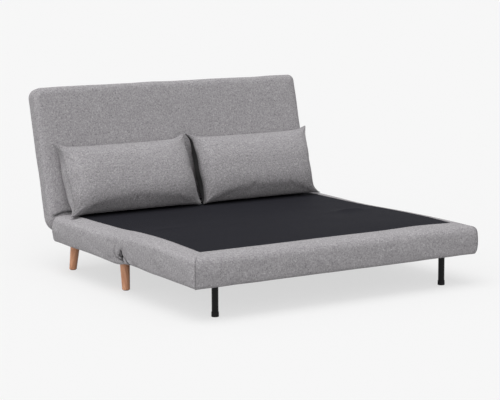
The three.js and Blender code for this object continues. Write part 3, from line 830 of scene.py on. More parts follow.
@dataclass
class Mattress:
    """The heights of both sections, which the cover and the deck cloth share."""

    deck_near: float = 0.091
    deck_far: float = 0.072
    deck_front: float = 0.1045
    deck_end: float = 0.036
    hinge_x: float = 0.51
    hinge_top: float = 0.2972

    def __post_init__(self) -> None:
        """Curves along Y, as measured: deck edges, falls of the shoulders, lower edge."""
        self.deck_left = curve_through(
            [(-0.720, 0.2868), (-0.652, 0.2897), (-0.547, 0.2936), (-0.439, 0.2968), (-0.328, 0.2974),
             (-0.271, 0.2966), (-0.156, 0.2935), (-0.097, 0.2902), (-0.038, 0.2872), (0.022, 0.2858),
             (0.145, 0.2842), (0.271, 0.2828), (0.522, 0.2825)]
        )
        self.deck_right = curve_through(
            [(-0.720, 0.2862), (-0.650, 0.2885), (-0.525, 0.2913), (-0.398, 0.2911), (-0.267, 0.2891),
             (-0.168, 0.2868), (0.005, 0.2832), (0.147, 0.2826), (0.290, 0.2830), (0.522, 0.2825)]
        )
        self.fall_left = curve_through(
            [(-0.833, 0.0120), (-0.60, 0.0105), (-0.36, 0.0105), (-0.19, 0.0120), (0.07, 0.0165),
             (0.29, 0.0155), (0.45, 0.0125), (0.558, 0.0125)]
        )
        self.fall_right = curve_through([(-0.833, 0.0160), (-0.30, 0.0198), (0.0, 0.0200), (0.558, 0.0100)])
        self.side_foot = curve_through(
            [(-0.833, 0.1490), (-0.740, 0.1508), (-0.635, 0.1512), (-0.530, 0.1528), (-0.420, 0.1552),
             (-0.305, 0.1584), (-0.230, 0.1578), (-0.168, 0.1515), (-0.129, 0.1448), (-0.069, 0.1424),
             (-0.008, 0.1450), (0.115, 0.1492), (0.242, 0.1494), (0.373, 0.1488), (0.507, 0.1520)]
        )

    def deck_height(self, x: Array, y: Array) -> Array:
        """Height of the deck: the left edge's curve turns into the right edge's across X.

        The front edge is a little fuller right of its middle, and a low mound over each
        fold hinge keeps the cloth above its knuckles.

        Args:
            x: places across.
            y: places along.

        Returns:
            The height at each place.
        """
        share = smooth_step(-0.68, 0.68, x)
        level = self.deck_left(y) * (1 - share) + self.deck_right(y) * share
        fuller = 0.0058 * bell(0.17, x - 0.49) + 0.0022 * bell(0.25, x - 0.05)
        level = level + fuller * smooth_step(-0.40, -0.71, y)
        mound = bell(0.085, np.abs(x) - self.hinge_x) * bell(0.05, y - FOLD_Y)
        return level + mound * np.maximum(self.hinge_top - level, 0)

    def deck_sides(self, x: Array) -> Array:
        """How far in from its side the deck's edge is: near on the left, far on the right."""
        return np.where(x < 0, self.deck_near, self.deck_far)

    def ridge_fall(self, x: Array, y: Array) -> Array:
        """How far the shoulder's outer edge lies below the deck's edge."""
        share = smooth_step(-0.775, 0.775, x)
        return self.fall_left(y) * (1 - share) + self.fall_right(y) * share


@dataclass
class MattressCover:
    """The grey cover: one padded skirt round both sections, gathered at the fold.

    Its section goes from under the deck cloth over the deck edge's welt, down the sloping
    shoulder, round the ridge and down the side, round the lower edge and back up inside.
    The reaches of ridge and foot are those of the near side, the front, the rear end and
    the far side. A point of the welt has its place beyond and above the deck's edge, in
    millimetres, and its seam mark. A crease has its two ends, as distance behind the fold
    and height, its width and its depth.
    """

    mattress: Mattress
    wall: float = 0.0175
    lip_side: float = 0.0315
    flap: float = 0.028
    lip_front: float = 0.0295
    lip_end: float = 0.0475
    lip_rise: float = 0.0025
    wall_rise: float = 0.034
    tuck: float = 0.0295
    foot_front: float = 0.1452
    foot_end: float = 0.1525
    front_corner: float = 0.011
    end_corner: float = 0.015
    spacing: float = 0.0075
    ridge_reach: tuple[float, float, float, float] = (0.020, 0.028, 0.022, 0.020)
    foot_reach: tuple[float, float, float, float] = (0.016, 0.020, 0.040, 0.030)
    bulge: float = 0.0048
    notch_rise: float = 0.050
    notch_half: float = 0.0065
    blend_half: float = 0.010
    slit_depth: float = 0.024
    darkest: float = 2.7
    welt: tuple[tuple[float, float, float], ...] = (
        (-1.6, -3.6, 0), (-1.2, -0.2, 0.5), (-0.4, 0.55, 0.1), (0.9, 0.95, 0), (2.4, 0.7, 0),
    )
    creases: tuple[tuple[float, ...], ...] = (
        (-0.007, 0.181, 0.030, 0.192, 0.0032, 0.0070),
        (0.000, 0.175, 0.036, 0.186, 0.0036, -0.0040),
        (0.004, 0.168, 0.044, 0.180, 0.0032, 0.0070),
        (0.046, 0.171, 0.063, 0.192, 0.0050, 0.0044),
        (0.012, 0.206, 0.026, 0.186, 0.0048, 0.0060),
        (0.060, 0.224, 0.068, 0.178, 0.0080, 0.0034),
        (0.034, 0.218, 0.038, 0.192, 0.0080, -0.0026),
        (-0.004, 0.188, -0.044, 0.160, 0.0040, -0.0045),
        (-0.010, 0.192, -0.054, 0.172, 0.0042, 0.0050),
        (-0.036, 0.180, -0.084, 0.157, 0.0050, 0.0090),
        (-0.056, 0.182, -0.100, 0.162, 0.0062, -0.0036),
        (-0.026, 0.236, -0.008, 0.218, 0.0060, 0.0030),
        (-0.104, 0.176, -0.160, 0.162, 0.0090, 0.0026),
        (0.078, 0.170, 0.140, 0.160, 0.0090, 0.0022),
        (-0.070, 0.232, -0.120, 0.214, 0.0100, 0.0018),
        (0.020, 0.244, 0.090, 0.236, 0.0110, 0.0016),
        (-0.300, 0.226, -0.350, 0.190, 0.0130, 0.0022),
        (-0.440, 0.234, -0.480, 0.202, 0.0120, 0.0018),
        (-0.560, 0.236, -0.610, 0.186, 0.0140, 0.0020),
        (0.330, 0.220, 0.280, 0.190, 0.0140, 0.0016),
    )

    def __post_init__(self) -> None:
        """Stands the columns along each side, each end and each corner in turn.

        A column has the number of its stretch, its place along a side or end or its angle
        round a corner, the direction straight out, and its place on the outer edge.
        """
        front_x, end_x = HALF_WIDTH - self.front_corner, HALF_WIDTH - self.end_corner
        left = stations(FRONT_Y + self.front_corner, END_Y - self.end_corner, self.fold_step)
        rear = stations(-end_x, end_x, lambda x: np.full(x.shape, self.spacing))
        front = stations(front_x, -front_x, lambda x: np.full(x.shape, self.spacing))
        turn = np.linspace(0, QUARTER, 15)[1:-1]
        legs = [left, math.pi - turn, rear, QUARTER - turn, left[::-1], -turn, front, -QUARTER - turn]
        self.leg = np.concatenate([np.full(len(part), number) for number, part in enumerate(legs)])
        self.place = np.concatenate(legs)
        self.outward = np.stack([np.cos(self.place), np.sin(self.place)], axis=-1)
        for number, direction in ((0, (-1, 0)), (2, (0, 1)), (4, (1, 0)), (6, (0, -1))):
            self.outward[self.leg == number] = direction
        self.outer = self.ring(0, 0, 0, (self.front_corner, self.end_corner))

    def fold_step(self, y: Array) -> Array:
        """The wanted distance between columns along a side, finest at the fold."""
        away = np.abs(y - FOLD_Y)
        return 0.0008 + 0.0017 * smooth_step(0.008, 0.03, away) + 0.005 * smooth_step(0.11, 0.2, away)

    def notch(self, away: Array) -> Array:
        """How far the lower edge and the gusset are drawn up beside the fold."""
        return self.notch_rise * (1 - smooth_step(0.0, self.notch_half, np.abs(away)))

    def ring(self, side: float | Array, front: float, end: float, radii: tuple[float, float]) -> Array:
        """One ring of the cover, as X and Y of each column.

        A straight stretch keeps its columns square to the edge in its middle and spreads
        them to the ring's own corners near its ends. A corner is a quarter circle.

        Args:
            side: how far in from the sides the ring is, one value or one for each column.
            front: how far in from the front.
            end: how far in from the rear end.
            radii: its corner radii, front and rear.

        Returns:
            Rows of X and Y.
        """
        place = self.place
        near_r, far_r = radii
        half, y_front, y_end = HALF_WIDTH - side, FRONT_Y + front, END_Y - end
        ends = [FRONT_Y + self.front_corner, -0.52, 0.24, END_Y - self.end_corner]
        y_along = np.interp(place, ends, [y_front + near_r, -0.52, 0.24, y_end - far_r])

        def spread(corner: float, radius: float) -> Array:
            """Straight from 0.5 m out to the ring's own corner."""
            away = np.abs(place)
            share = np.clip((away - 0.5) / (HALF_WIDTH - corner - 0.5), 0, 1)
            return np.sign(place) * (np.minimum(away, 0.5) + share * (half - radius - 0.5))

        cos, sin = np.cos(place), np.sin(place)
        rear_x, front_x = spread(self.end_corner, far_r), spread(self.front_corner, near_r)
        rear_y, front_y = y_end - far_r * (1 - sin), y_front + near_r * (1 + sin)
        left = (-half, far_r * (1 + cos) - half, rear_x, half - far_r * (1 - cos))
        right = (half, half - near_r * (1 - cos), front_x, near_r * (1 + cos) - half)
        along = (y_along, rear_y, y_end, rear_y, y_along, front_y, y_front, front_y)
        chosen = [self.leg == number for number in range(8)]
        return np.stack([np.select(chosen, (*left, *right)), np.select(chosen, along)], axis=-1)

    def section(self) -> tuple[Array, Array, Array]:
        """Every row of the cover before its wrinkles.

        The main points of a column are the deck's edge, the ridge and the foot. The lines
        between them are straight, but for the shoulder, which falls by a power of its
        share, and the ridge and foot are rounded by quadratic Bezier curves.

        Returns:
            The grid, the seam mark and the share of the wrinkles at each row and column.
        """
        m, outer, mm = self.mattress, self.outer, MILLIMETRE
        sides = m.deck_sides(outer[:, 0])
        deck = self.ring(sides, m.deck_front, m.deck_end, (0.0006, 0.0006))
        flap = self.ring(
            sides + self.flap, m.deck_front + self.flap, m.deck_end + self.flap, (0.0004, 0.0004)
        )
        lip = self.ring(self.lip_side, self.lip_front, self.lip_end, (0.004, 0.004))
        wall = self.ring(self.wall, self.wall, self.wall, (0.003, 0.004))
        side_part, long_part = self.outward.T**2
        front_part, end_part = long_part * (self.outward[:, 1] < 0), long_part * (self.outward[:, 1] > 0)
        far = smooth_step(0.0, 0.77, outer[:, 0])

        def at(ring: Array, z: Array) -> Array:
            """The ring's columns at their heights."""
            return np.concatenate([ring, z[:, None]], axis=1)

        def by_edge(near: float, front: float, end: float, far_side: float) -> Array:
            """A value for each column from those at the four edges."""
            value = near * side_part + front * front_part + end * end_part
            return (value + (far_side - value) * far * side_part)[:, None]

        deck_z = m.deck_height(*deck.T)
        ridge_z = deck_z - m.ridge_fall(*outer.T)
        foot_z = m.side_foot(outer[:, 1]) * side_part
        foot_z = foot_z + self.foot_end * end_part + self.foot_front * front_part
        foot_z = foot_z + waves(*outer.T, 0.0008, (0.16, 0.34), 4)
        foot_z = foot_z + self.notch(outer[:, 1] - FOLD_Y) * (side_part > 0.99)
        out = at(self.outward, np.zeros(len(outer)))
        edge, ridge, foot = at(deck, deck_z), at(outer, ridge_z), at(outer, foot_z)
        under = at(flap, m.deck_height(*flap.T))
        start = edge + out * 0.004
        back = start - ridge
        reach, foot_reach = by_edge(*self.ridge_reach), by_edge(*self.foot_reach)
        length = np.linalg.norm(back, axis=1, keepdims=True)
        above = ridge + back / length * reach + UP * (0.12 * reach)
        below = ridge - UP * (1.15 * reach)
        foot_top, foot_in = foot + UP * (1.1 * foot_reach), foot - out * foot_reach
        rows = [
            (under - UP * self.tuck, 0, 0),
            (under - UP * 4.6 * mm, 0, 0),
            (edge * 0.6 + under * 0.4 - UP * 4.2 * mm, 0, 0),
        ]
        for away, rise, seam in self.welt:
            rows.append((edge + out * away * mm + UP * rise * mm, seam, 0))
        for share in np.linspace(0, 1, 16):
            fall = (start[:, 2:] - above[:, 2:]) * (share - share**1.35)
            line = start + (above - start) * share + UP * fall
            rows.append((line, 0.3 if share == 0 else 0.0, 0.6 * smooth_step(0.1, 0.9, share)))
        for share in np.linspace(0, 1, 13)[1:]:
            rows.append((bezier(above, ridge, below, share), 0, 0.6 + 0.4 * share))
        for share in np.linspace(0, 1, 36)[1:]:
            rows.append((below + (foot_top - below) * share, 0, 1))
        for share in np.linspace(0, 1, 11)[1:]:
            rows.append((bezier(foot_top, foot, foot_in, share), 0, 1 - 0.8 * share))
        inside = ((lip, foot_z), (lip, foot_z + self.lip_rise), (wall, foot_z + self.wall_rise))
        for ring, z in (*inside, (wall, deck_z - self.tuck)):
            rows.append((at(ring, z), 0, 0))
        points, *marks = zip(*rows)
        seam, skin = (np.array(mark, float)[:, None] * np.ones(len(outer)) for mark in marks)
        grid = np.stack(points)
        depth = np.clip((ridge_z - grid[..., 2]) / (ridge_z - foot_z), 0, 1)
        fuller = 1 + 1.1 * side_part * smooth_step(0.36, 0.55, outer[:, 1]) - 0.5 * end_part
        swell = self.bulge * np.sin(math.pi * depth) ** 1.2 * fuller
        return grid + (swell * (skin > 0.1))[..., None] * out, seam, skin

    def gathers(self, away: Array, z: Array) -> tuple[Array, Array]:
        """How far the cover is pulled in where it is gathered at the fold.

        A narrow slit below the sleeping height, a shallow hollow round it, and creases.
        A crease is a bell of the distance to its line, and a negative one is a roll.

        Args:
            away: distance behind the fold.
            z: height above the floor.

        Returns:
            The depth at each place, and the painted shade of its slit, hollow and creases.
        """
        total = self.slit_depth * bell(0.0056, away) * smooth_step(0.2225, 0.208, z)
        total = total + 0.0085 * bell(0.042, away) * smooth_step(0.245, 0.180, z)
        # Painted shade: the slit, the hollow round it and each deep crease are darkened.
        shade = 4.8 * bell(0.0076, away + 0.001) * smooth_step(0.224, 0.213, z) * smooth_step(0.150, 0.182, z)
        shade = shade + 0.55 * bell(0.026, away) * bell(0.030, z - 0.186)
        for y0, z0, y1, z1, width, depth in self.creases:
            along_y, along_z = y1 - y0, z1 - z0
            share = ((away - y0) * along_y + (z - z0) * along_z) / (along_y**2 + along_z**2)
            share = np.clip(share, 0, 1)
            far = np.hypot(away - y0 - share * along_y, z - z0 - share * along_z)
            strength = 0.35 + 0.65 * np.sin(math.pi * np.clip(share, 0.08, 0.92))
            total = total + depth * bell(width, far) * strength
            shade = shade + max(depth - 0.0018, 0.0) * 430 * bell(1.15 * width, far) * strength
        return total, np.minimum(shade, self.darkest)

    def build(self) -> Piece:
        """Makes one grid of the whole skirt, closed both ways, and lets it wrinkle."""
        grid, seam, skin = self.section()
        outer, (across, along) = self.outer, self.outward.T
        y, z = grid[..., 1], grid[..., 2]
        pull, shade = (part * (np.abs(across) > 0.99) for part in self.gathers(y - FOLD_Y, z))
        steps = np.linalg.norm(np.diff(outer, axis=0), axis=1)
        ripple = waves(np.concatenate([[0], np.cumsum(steps)]), z, 0.0015, (0.08, 0.15, 0.28), 7)
        corner_turn = np.abs(across) * (along < 0)
        seam_line = bell(0.24, corner_turn - 0.36) * (corner_turn > 0.01)
        beside = bell(0.010, HALF_WIDTH - np.abs(outer[:, 0]) - 0.034) * (along < -0.99)
        pucker = 0.0012 * seam_line + 0.0011 * beside * np.sin(z * 150.0)
        grid[..., :2] += (skin * (ripple - pull - pucker))[..., None] * self.outward
        # The gathers' painted shade is added to the seam mark.
        seam = np.maximum(seam, seam_line * (skin > 0.55) * 1.25) + shade * (skin > 0.3)
        cover = ring_surface("mattress_cover", grid, {"seam": seam}, closed_rows=True)
        GREY_FABRIC.hand_over(cover, None, "rear_upholstery", "front_upholstery")
        return self.bend(cover)

    def bend(self, piece: Piece) -> Piece:
        """Bakes the piece's transform into its mesh and gives the piece back."""
        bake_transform(piece)
        return piece


@dataclass
class DeckCloth:
    """The charcoal lying surface: one stretched sheet over both sections."""

    cover: MattressCover
    thickness: float = 0.002
    room: float = 0.0004
    hem: float = 0.006
    slack: float = 0.002

    def build(self) -> Piece:
        """Two layers over the deck's height, with the upper one eased down at the hem."""
        m = self.cover.mattress
        low = (m.deck_near + self.room - HALF_WIDTH, FRONT_Y + m.deck_front + self.room)
        high = (HALF_WIDTH - m.deck_far - self.room, END_Y - m.deck_end - self.room)

        def step_x(x: Array) -> Array:
            """Finer beside the hems."""
            return 0.002 + 0.018 * smooth_step(0.0, 0.06, np.minimum(x - low[0], high[0] - x))

        def step_y(y: Array) -> Array:
            """Finer beside the hems and at the fold."""
            edge = 0.002 + 0.016 * smooth_step(0.0, 0.06, np.minimum(y - low[1], high[1] - y))
            return np.minimum(edge, 0.0012 + 0.016 * smooth_step(0.01, 0.12, np.abs(y - FOLD_Y)))

        x, y = np.meshgrid(stations(low[0], high[0], step_x), stations(low[1], high[1], step_y))
        inside = inside_of(x, y, low, high)
        crown = 0.0012 * smooth_step(0.0, 0.25, inside)
        ripple = waves(x, y, 0.0005, (0.22, 0.45), 21) * smooth_step(0.0, 0.1, inside)
        beside = smooth_step(0.075, 0.050, np.abs(np.abs(x) - m.hinge_x))
        knuckles = 0.0024 * bell(0.018, y - FOLD_Y) * beside
        z = m.deck_height(x, y) + crown + ripple + knuckles - self.room
        rim = 1 - np.clip(inside / self.hem, 0, 1)
        upper, lower = joined(x, y, z - 0.0013 * rim**2), joined(x, y, z - self.thickness + 0.0002 * rim)
        cloth = DECK_CLOTH.hand_over(
            slab("deck_cloth", upper, lower), None, "rear_deck_cloth", "front_deck_cloth"
        )
        return self.cover.bend(cloth)


@dataclass
class FoldGusset:
    """The strip of cover under the fold, tucked up between the sections."""

    cover: MattressCover
    half_width: float = 0.7572
    flange: float = 0.0200
    bend_half: float = 0.0075
    thickness: float = 0.0016
    parting: float = 0.00015

    def build(self) -> Piece:
        """Two layers, the upper one a cloth's thickness above the lower along its normal.

        The underside has level flanges and a narrow tuck between them, whose two walls
        never cross the fold's plane.
        """
        outside = np.linspace(self.bend_half, self.flange, 8)[1:]
        inside = np.linspace(-self.bend_half, self.bend_half, 61)
        away = np.concatenate([-outside[::-1], inside, outside])
        x, d = np.meshgrid(np.linspace(-self.half_width, self.half_width, 120), away)
        ripple = 0.0004 * np.sin(x * 41) * smooth_step(0.004, 0.012, np.abs(d))
        z = CLEAR_HEIGHT + self.cover.notch(d) + ripple
        slope = np.gradient(z, away, axis=0)
        scale = self.thickness / np.sqrt(1 + slope**2)
        over = d - slope * scale
        over = np.where(d < 0, np.minimum(over, -self.parting), np.maximum(over, self.parting))
        upper = joined(x, FOLD_Y + over * (np.abs(d) > 1e-6), z + scale)
        strip = slab("fold_gusset", upper, joined(x, FOLD_Y + d, z))
        GREY_FABRIC.dress(strip)
        return self.cover.bend(strip)


@dataclass
class SeatPanel:
    """The padded face under the front section, which is the seat when it is folded over."""

    crown: float = 0.006
    bottom: float = 0.1572
    top: float = 0.1806
    seams: tuple[float, float] = (-0.34, -0.62)
    seam_depth: float = 0.004
    room: float = 0.0008
    rim: float = 0.004

    @staticmethod
    def lines(start: float, stop: float, keep: Iterable[float], step: float) -> Array:
        """Grid lines, with five of them close together at each place that is kept.

        Args:
            start: the first line.
            stop: the last line.
            keep: the places that need lines of their own.
            step: the widest distance between two lines.

        Returns:
            The lines' places.
        """
        close = {place + away for place in keep for away in (-0.004, -0.0015, 0, 0.0015, 0.004)}
        fixed = [value for value in sorted({start, stop} | close) if start <= value <= stop]
        spans = zip(fixed, fixed[1:])
        parts = [np.linspace(a, b, max(2, int((b - a) / step) + 2))[:-1] for a, b in spans]
        return np.concatenate([*parts, [stop]])

    def build(self) -> Piece:
        """A padded slab with a window for each leg pocket.

        Its lower face swells by the crown times how far inside the edge a point is, and is
        drawn up along two stitched channels and round each pocket.
        """
        (x_low, _, _), (x_high, y_high, _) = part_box("front_seat_panel")
        y_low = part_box("seat_pad_front")[0].y
        pocket_low, pocket_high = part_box("leg_channel_left")
        pockets = [(pocket_low.x, pocket_high.x), (-pocket_high.x, -pocket_low.x)]
        x_edges = [edge for a, b in pockets for edge in (a - self.room, b + self.room)]
        y_edges = [pocket_low.y - self.room, pocket_high.y + self.room]
        xs = self.lines(x_low, x_high, [*x_edges, x_low + self.rim, x_high - self.rim], 0.018)
        ys = self.lines(y_low, y_high, [*y_edges, *self.seams, y_low + self.rim, y_high - self.rim], 0.012)
        x, y = np.meshgrid(xs, ys)
        middle_x, middle_y = (xs[1:] + xs[:-1]) / 2, (ys[1:] + ys[:-1]) / 2
        in_y = (middle_y > y_edges[0]) & (middle_y < y_edges[1])
        in_x = np.any([(middle_x > a - self.room) & (middle_x < b + self.room) for a, b in pockets], axis=0)
        inside = inside_of(x, y, (x_low, y_low), (x_high, y_high))
        along = np.maximum(np.maximum(pocket_low.y - y, y - pocket_high.y), 0)
        beside = [np.maximum(np.maximum(a - x, x - b), 0) for a, b in pockets]
        pocket_away = np.hypot(np.minimum(*beside), along)
        swell = np.minimum(smooth_step(0.0, 0.05, inside), smooth_step(0.0, 0.03, pocket_away))
        drawn = smooth_step(0.0, 0.02, inside)
        channel, stitch = (sum(bell(width, y - seam) for seam in self.seams) for width in (0.005, 0.0022))
        z = self.bottom - self.crown * swell + self.seam_depth * channel * drawn
        z = z + waves(x, y, 0.0006, (0.1, 0.2), 31) * swell
        kept, marks = ~(in_y[:, None] & in_x), {"seam": np.clip(stitch * drawn, 0, 1)}
        panel = slab("seat_panel", joined(x, y, self.top), joined(x, y, z), kept, marks)
        pads = ("seat_pad_front", "seat_pad_middle", "seat_pad_left", "seat_pad_right")
        GREY_FABRIC.hand_over(panel, "front_section", "front_seat_panel", *pads)
        return panel


@dataclass
class DustCover:
    """The thin backing cloth under the rear section, stapled along its edge."""

    sag: float = 0.003
    thickness: float = 0.0011
    staples: float = 0.045
    leg_x: float = 0.677
    leg_y: float = 0.52

    def build(self) -> Piece:
        """A sheet that hangs by a low arch between its four edges, but not at the legs."""
        low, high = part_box("rear_dust_cover")
        size = high - low
        x, y = np.meshgrid(np.linspace(low.x, high.x, 90), np.linspace(low.y, high.y, 46))
        arch = np.sin(math.pi * (x - low.x) / size.x) * np.sin(math.pi * (y - low.y) / size.y)
        pucker = np.cos(x * 2 * math.pi / self.staples) * np.cos(y * 2 * math.pi / self.staples)
        pucker = 0.0006 * pucker * bell(0.02, inside_of(x, y, low, high) - 0.012)
        clear = sum(bell(0.05, np.hypot(np.abs(x) - self.leg_x, y - leg)) for leg in (0, self.leg_y))
        z = low.z + 0.0004 + pucker - self.sag * arch * (1 - np.clip(clear, 0, 1))
        cloth = slab("dust_cover", joined(x, y, z + self.thickness), joined(x, y, z))
        BACKING.hand_over(cloth, "rear_section", "rear_dust_cover")
        return cloth


# The backrest


def leaned(x: Array, forward: Array, rise: Array) -> Array:
    """Places on the backrest: across, forward of its middle and up from its pivot."""
    y = PIVOT_Y - forward * LEAN_COS + rise * LEAN_SIN
    return joined(x, y, PIVOT_Z + forward * LEAN_SIN + rise * LEAN_COS)


@dataclass
class Backrest:
    """The upholstered backrest: a padded body with soft edges and a panel let into its rear.

    A row of the panel's roll has its place forward of the body's rear rim, how far in it
    is, its share of the outline and its seam mark.
    """

    half_width: float = 0.778
    shift: float = 0.0025
    length: float = 0.675
    half: float = 0.0535
    edge: float = 0.034
    top_corner: float = 0.034
    left_fuller: float = 0.016
    low_corner: float = 0.070
    rear_rim: float = 0.0035
    slot_inner: float = 0.5543
    slot_outer: float = 0.5673
    slot_floor: float = 0.0345
    square: float = 0.6
    panel_low: float = 0.022
    roll: tuple[tuple[float, ...], ...] = (
        (0.001, 0.0345, 1, 0.6), (-0.0004, 0.0345, 1, 1), (-0.0022, 0.0352, 1, 0.4),
        (-0.0031, 0.0372, 1, 0), (-0.0033, 0.041, 1, 0),
    )

    def outline(
        self, inset: Array, low: Array, share: Array, leg: Array, place: Array
    ) -> tuple[Array, Array]:
        """Rounded outlines, one for each row, as across and rise of each column.

        Args:
            inset: how far in from the sides and top, a column vector.
            low: where the lower edge is, a column vector.
            share: the outline's size; below 1 it shrinks towards the middle of the face.
            leg: the number of the stretch that each column belongs to.
            place: its place along the stretch.

        Returns:
            Across and rise, as rows x columns.
        """
        half, top = self.half_width - inset, self.length - inset
        top_r, low_r = (np.maximum(corner - inset, 0.0004) for corner in (self.top_corner, self.low_corner))
        left_r, foot = top_r + self.left_fuller, low + low_r
        square, x_far = self.square, self.half_width - self.low_corner
        cos, sin, away = np.cos(place), np.sin(place), np.abs(place)
        spread = square + (away - square) / (x_far - square) * (half - low_r - square)
        low_x = np.sign(place) * np.where(away > square, spread, np.minimum(away, half - low_r))
        top_x = place / (self.half_width - self.top_corner) * np.where(place > 0, half - top_r, half - left_r)
        right = (low_x, half - low_r + low_r * cos, half, half - top_r + top_r * cos)
        left = (top_x, left_r - half + left_r * cos, -half)
        rises = (low, foot + low_r * sin, foot + place * (top - top_r - foot), top - top_r + top_r * sin)
        falls = (top, top - left_r + left_r * sin, foot + place * (top - left_r - foot))
        chosen = [leg == number for number in range(7)]
        x = np.select(chosen, (*right, *left), low_r - half + low_r * cos)
        rise = np.select(chosen, (*rises, *falls), foot + low_r * sin)
        middle = self.length / 2
        x_middle = np.clip(x, middle - self.half_width, self.half_width - middle)
        return x_middle * (1 - share) + x * share, middle * (1 - share) + rise * share

    def columns(self) -> tuple[Array, Array]:
        """The columns round the outline, closer together at the corners and hinge slots.

        Returns:
            The number of each column's stretch, and its place along it.
        """
        x_far, x_top = self.half_width - self.low_corner, self.half_width - self.top_corner
        slots = [self.slot_inner - 0.0008, self.slot_inner, self.slot_outer, self.slot_outer + 0.0008]
        edges = np.array([side.value * slot for side in Side for slot in slots])
        base = np.linspace(-x_far, x_far, 150)
        base = base[np.min(np.abs(base[:, None] - edges), axis=1) > 0.003]
        low = np.sort(np.concatenate([base, edges]))
        turn = np.linspace(0, QUARTER, 13)[1:-1]
        rise, top = np.linspace(0, 1, 62), np.linspace(x_top, -x_top, 130)
        legs = [low, turn - QUARTER, rise, turn, top, QUARTER + turn, rise[::-1], math.pi + turn]
        leg = np.concatenate([np.full(len(part), number) for number, part in enumerate(legs)])
        return leg, np.concatenate(legs)

    def rows(self) -> Array:
        """The body's rows from front middle to rear middle: forward, inset, low edge, share.

        The edges are quarter circles between face and side.
        """
        turn = np.linspace(0, QUARTER, 13)
        forward, inset = self.half - self.edge * (1 - np.cos(turn)), self.edge * (1 - np.sin(turn))
        side = np.linspace(self.half - self.edge, self.edge - self.half, 9)[1:]
        rim = self.half - self.rear_rim
        behind = np.flatnonzero(forward <= rim)[::-1][1:]
        depth = np.concatenate([forward, side, -forward[behind]])
        inset = np.concatenate([inset, np.zeros(len(side)), inset[behind]])
        low = -np.sqrt(np.maximum(self.half**2 - depth**2, 0))
        outside = np.column_stack([depth, inset, low, np.ones(len(low))])
        front = [[*outside[0, :3], share] for share in 1 - np.linspace(1, 0, 34)[:-1] ** 1.25]
        rear = [[-rim, *outside[-1, 1:3], share] for share in np.linspace(1, 0, 12)[1:]]
        return np.array([*front, *outside, *rear])

    def build_body(self) -> Piece:
        """The padded body, soft at its edges and slotted for the two ratchet hinges."""
        forward, inset, low, share = self.rows().T[:, :, None]
        x, rise = self.outline(inset, low, share, *self.columns())
        edge_away = np.minimum(self.half_width - np.abs(x), self.length - rise)
        face = smooth_step(0.9, 1.0, forward / self.half)
        ease = 0.0065 * np.exp(-np.clip(edge_away - 0.02, 0, None) / 0.045)
        ripple = waves(x, rise, 0.0010, (0.14, 0.26, 0.5), 51)
        weight = np.clip(forward / self.half, 0, 1) ** 2
        depth = forward - weight * (ease + 0.0012) + face * ripple * smooth_step(0.0, 0.1, edge_away) * 0.8
        rear = smooth_step(-0.8, -0.95, depth / self.half)
        side_wave = waves(depth, rise + x, 0.0009, (0.12, 0.25), 52) * (1 - face) * (1 - rear) * (rise > 0.03)
        x = x + np.sign(x) * side_wave * (np.abs(x) > self.half_width - 0.03)
        rise = rise + side_wave * (rise > self.length - 0.03)
        radial, angle = np.hypot(depth, rise), np.degrees(np.arctan2(rise, depth))
        in_slot = (np.abs(x) > self.slot_inner - 0.0003) & (np.abs(x) < self.slot_outer + 0.0003)
        in_slot &= (angle < 12) & (angle > -125) & (radial > self.slot_floor)
        shrink = np.where(in_slot, self.slot_floor / np.maximum(radial, 1e-6), 1.0)
        depth, rise = depth * shrink, rise * shrink
        rise = rise - 0.0024 * x * smooth_step(0.1, self.length, rise)
        grid = leaned(x + self.shift * smooth_step(0.58, 0.70, np.abs(x)), depth, rise)
        # Painted shade: a dark band on the body where it meets the top of the mattress, for the crevice's
        # shadow.
        brink = 0.2885 - 0.016 * smooth_step(0.70, 0.775, np.abs(x))
        painted_crevice_shade = 2.6 * bell(0.0062, grid[..., 2] - brink) * smooth_step(0.777, 0.752, np.abs(x))
        body = ring_surface("backrest_body", grid, {"seam": painted_crevice_shade * (depth > 0.004)}, weld=1e-5)
        GREY_FABRIC.hand_over(body, "backrest", "back_front_pad")
        return body

    def build_panel(self) -> Piece:
        """The rear panel: a shallow pad whose rim rolls over into the body's recess."""
        leg, place = self.columns()
        slot = (self.slot_inner + self.slot_outer) / 2
        keep = ~((leg == 0) & (np.abs(np.abs(place) - slot) < 0.009))
        first, last = self.roll[0], self.roll[-1]
        front = [(*first[:2], share, 0) for share in np.linspace(0, 1, 8)[:-1]]
        rear = [(last[0] - 0.0002 * (1 - share), last[1], share, 0) for share in np.linspace(1, 0, 22)[1:]]
        forward, inset, share, seam = np.array([*front, *self.roll, *rear]).T[:, :, None]
        x, rise = self.outline(inset, inset - self.panel_low, share, leg[keep], place[keep])
        ripple = waves(x, rise, 0.0004, (0.2, 0.4), 61) * (share < 1)
        grid = leaned(x, self.rear_rim - self.half + forward + ripple, rise)
        marks = {"seam": np.broadcast_to(seam, x.shape)}
        panel = ring_surface("backrest_rear_panel", grid, marks, weld=1e-5)
        GREY_FABRIC.hand_over(panel, "backrest", "back_rear_panel")
        return panel


# The pillows


@dataclass(frozen=True)
class PillowShape:
    """What one pillow has for itself.

    Corners and ears are pairs for the low and the high side of X, at the bottom and then at
    the top: the corners' X, and how far their tips stand out. Draws are pairs for bottom and
    top, of the low side and then of the high: how far it is drawn in. The shades are painted
    shade, of the lower front, of the end in the gap, and of the front beside the gap.
    """

    corners: tuple[tuple[float, float], ...]
    draws: tuple[tuple[float, float], ...]
    ears: tuple[tuple[float, float], ...]
    low_shades: tuple[float, float]
    gap_shade: float
    edge_shade: float


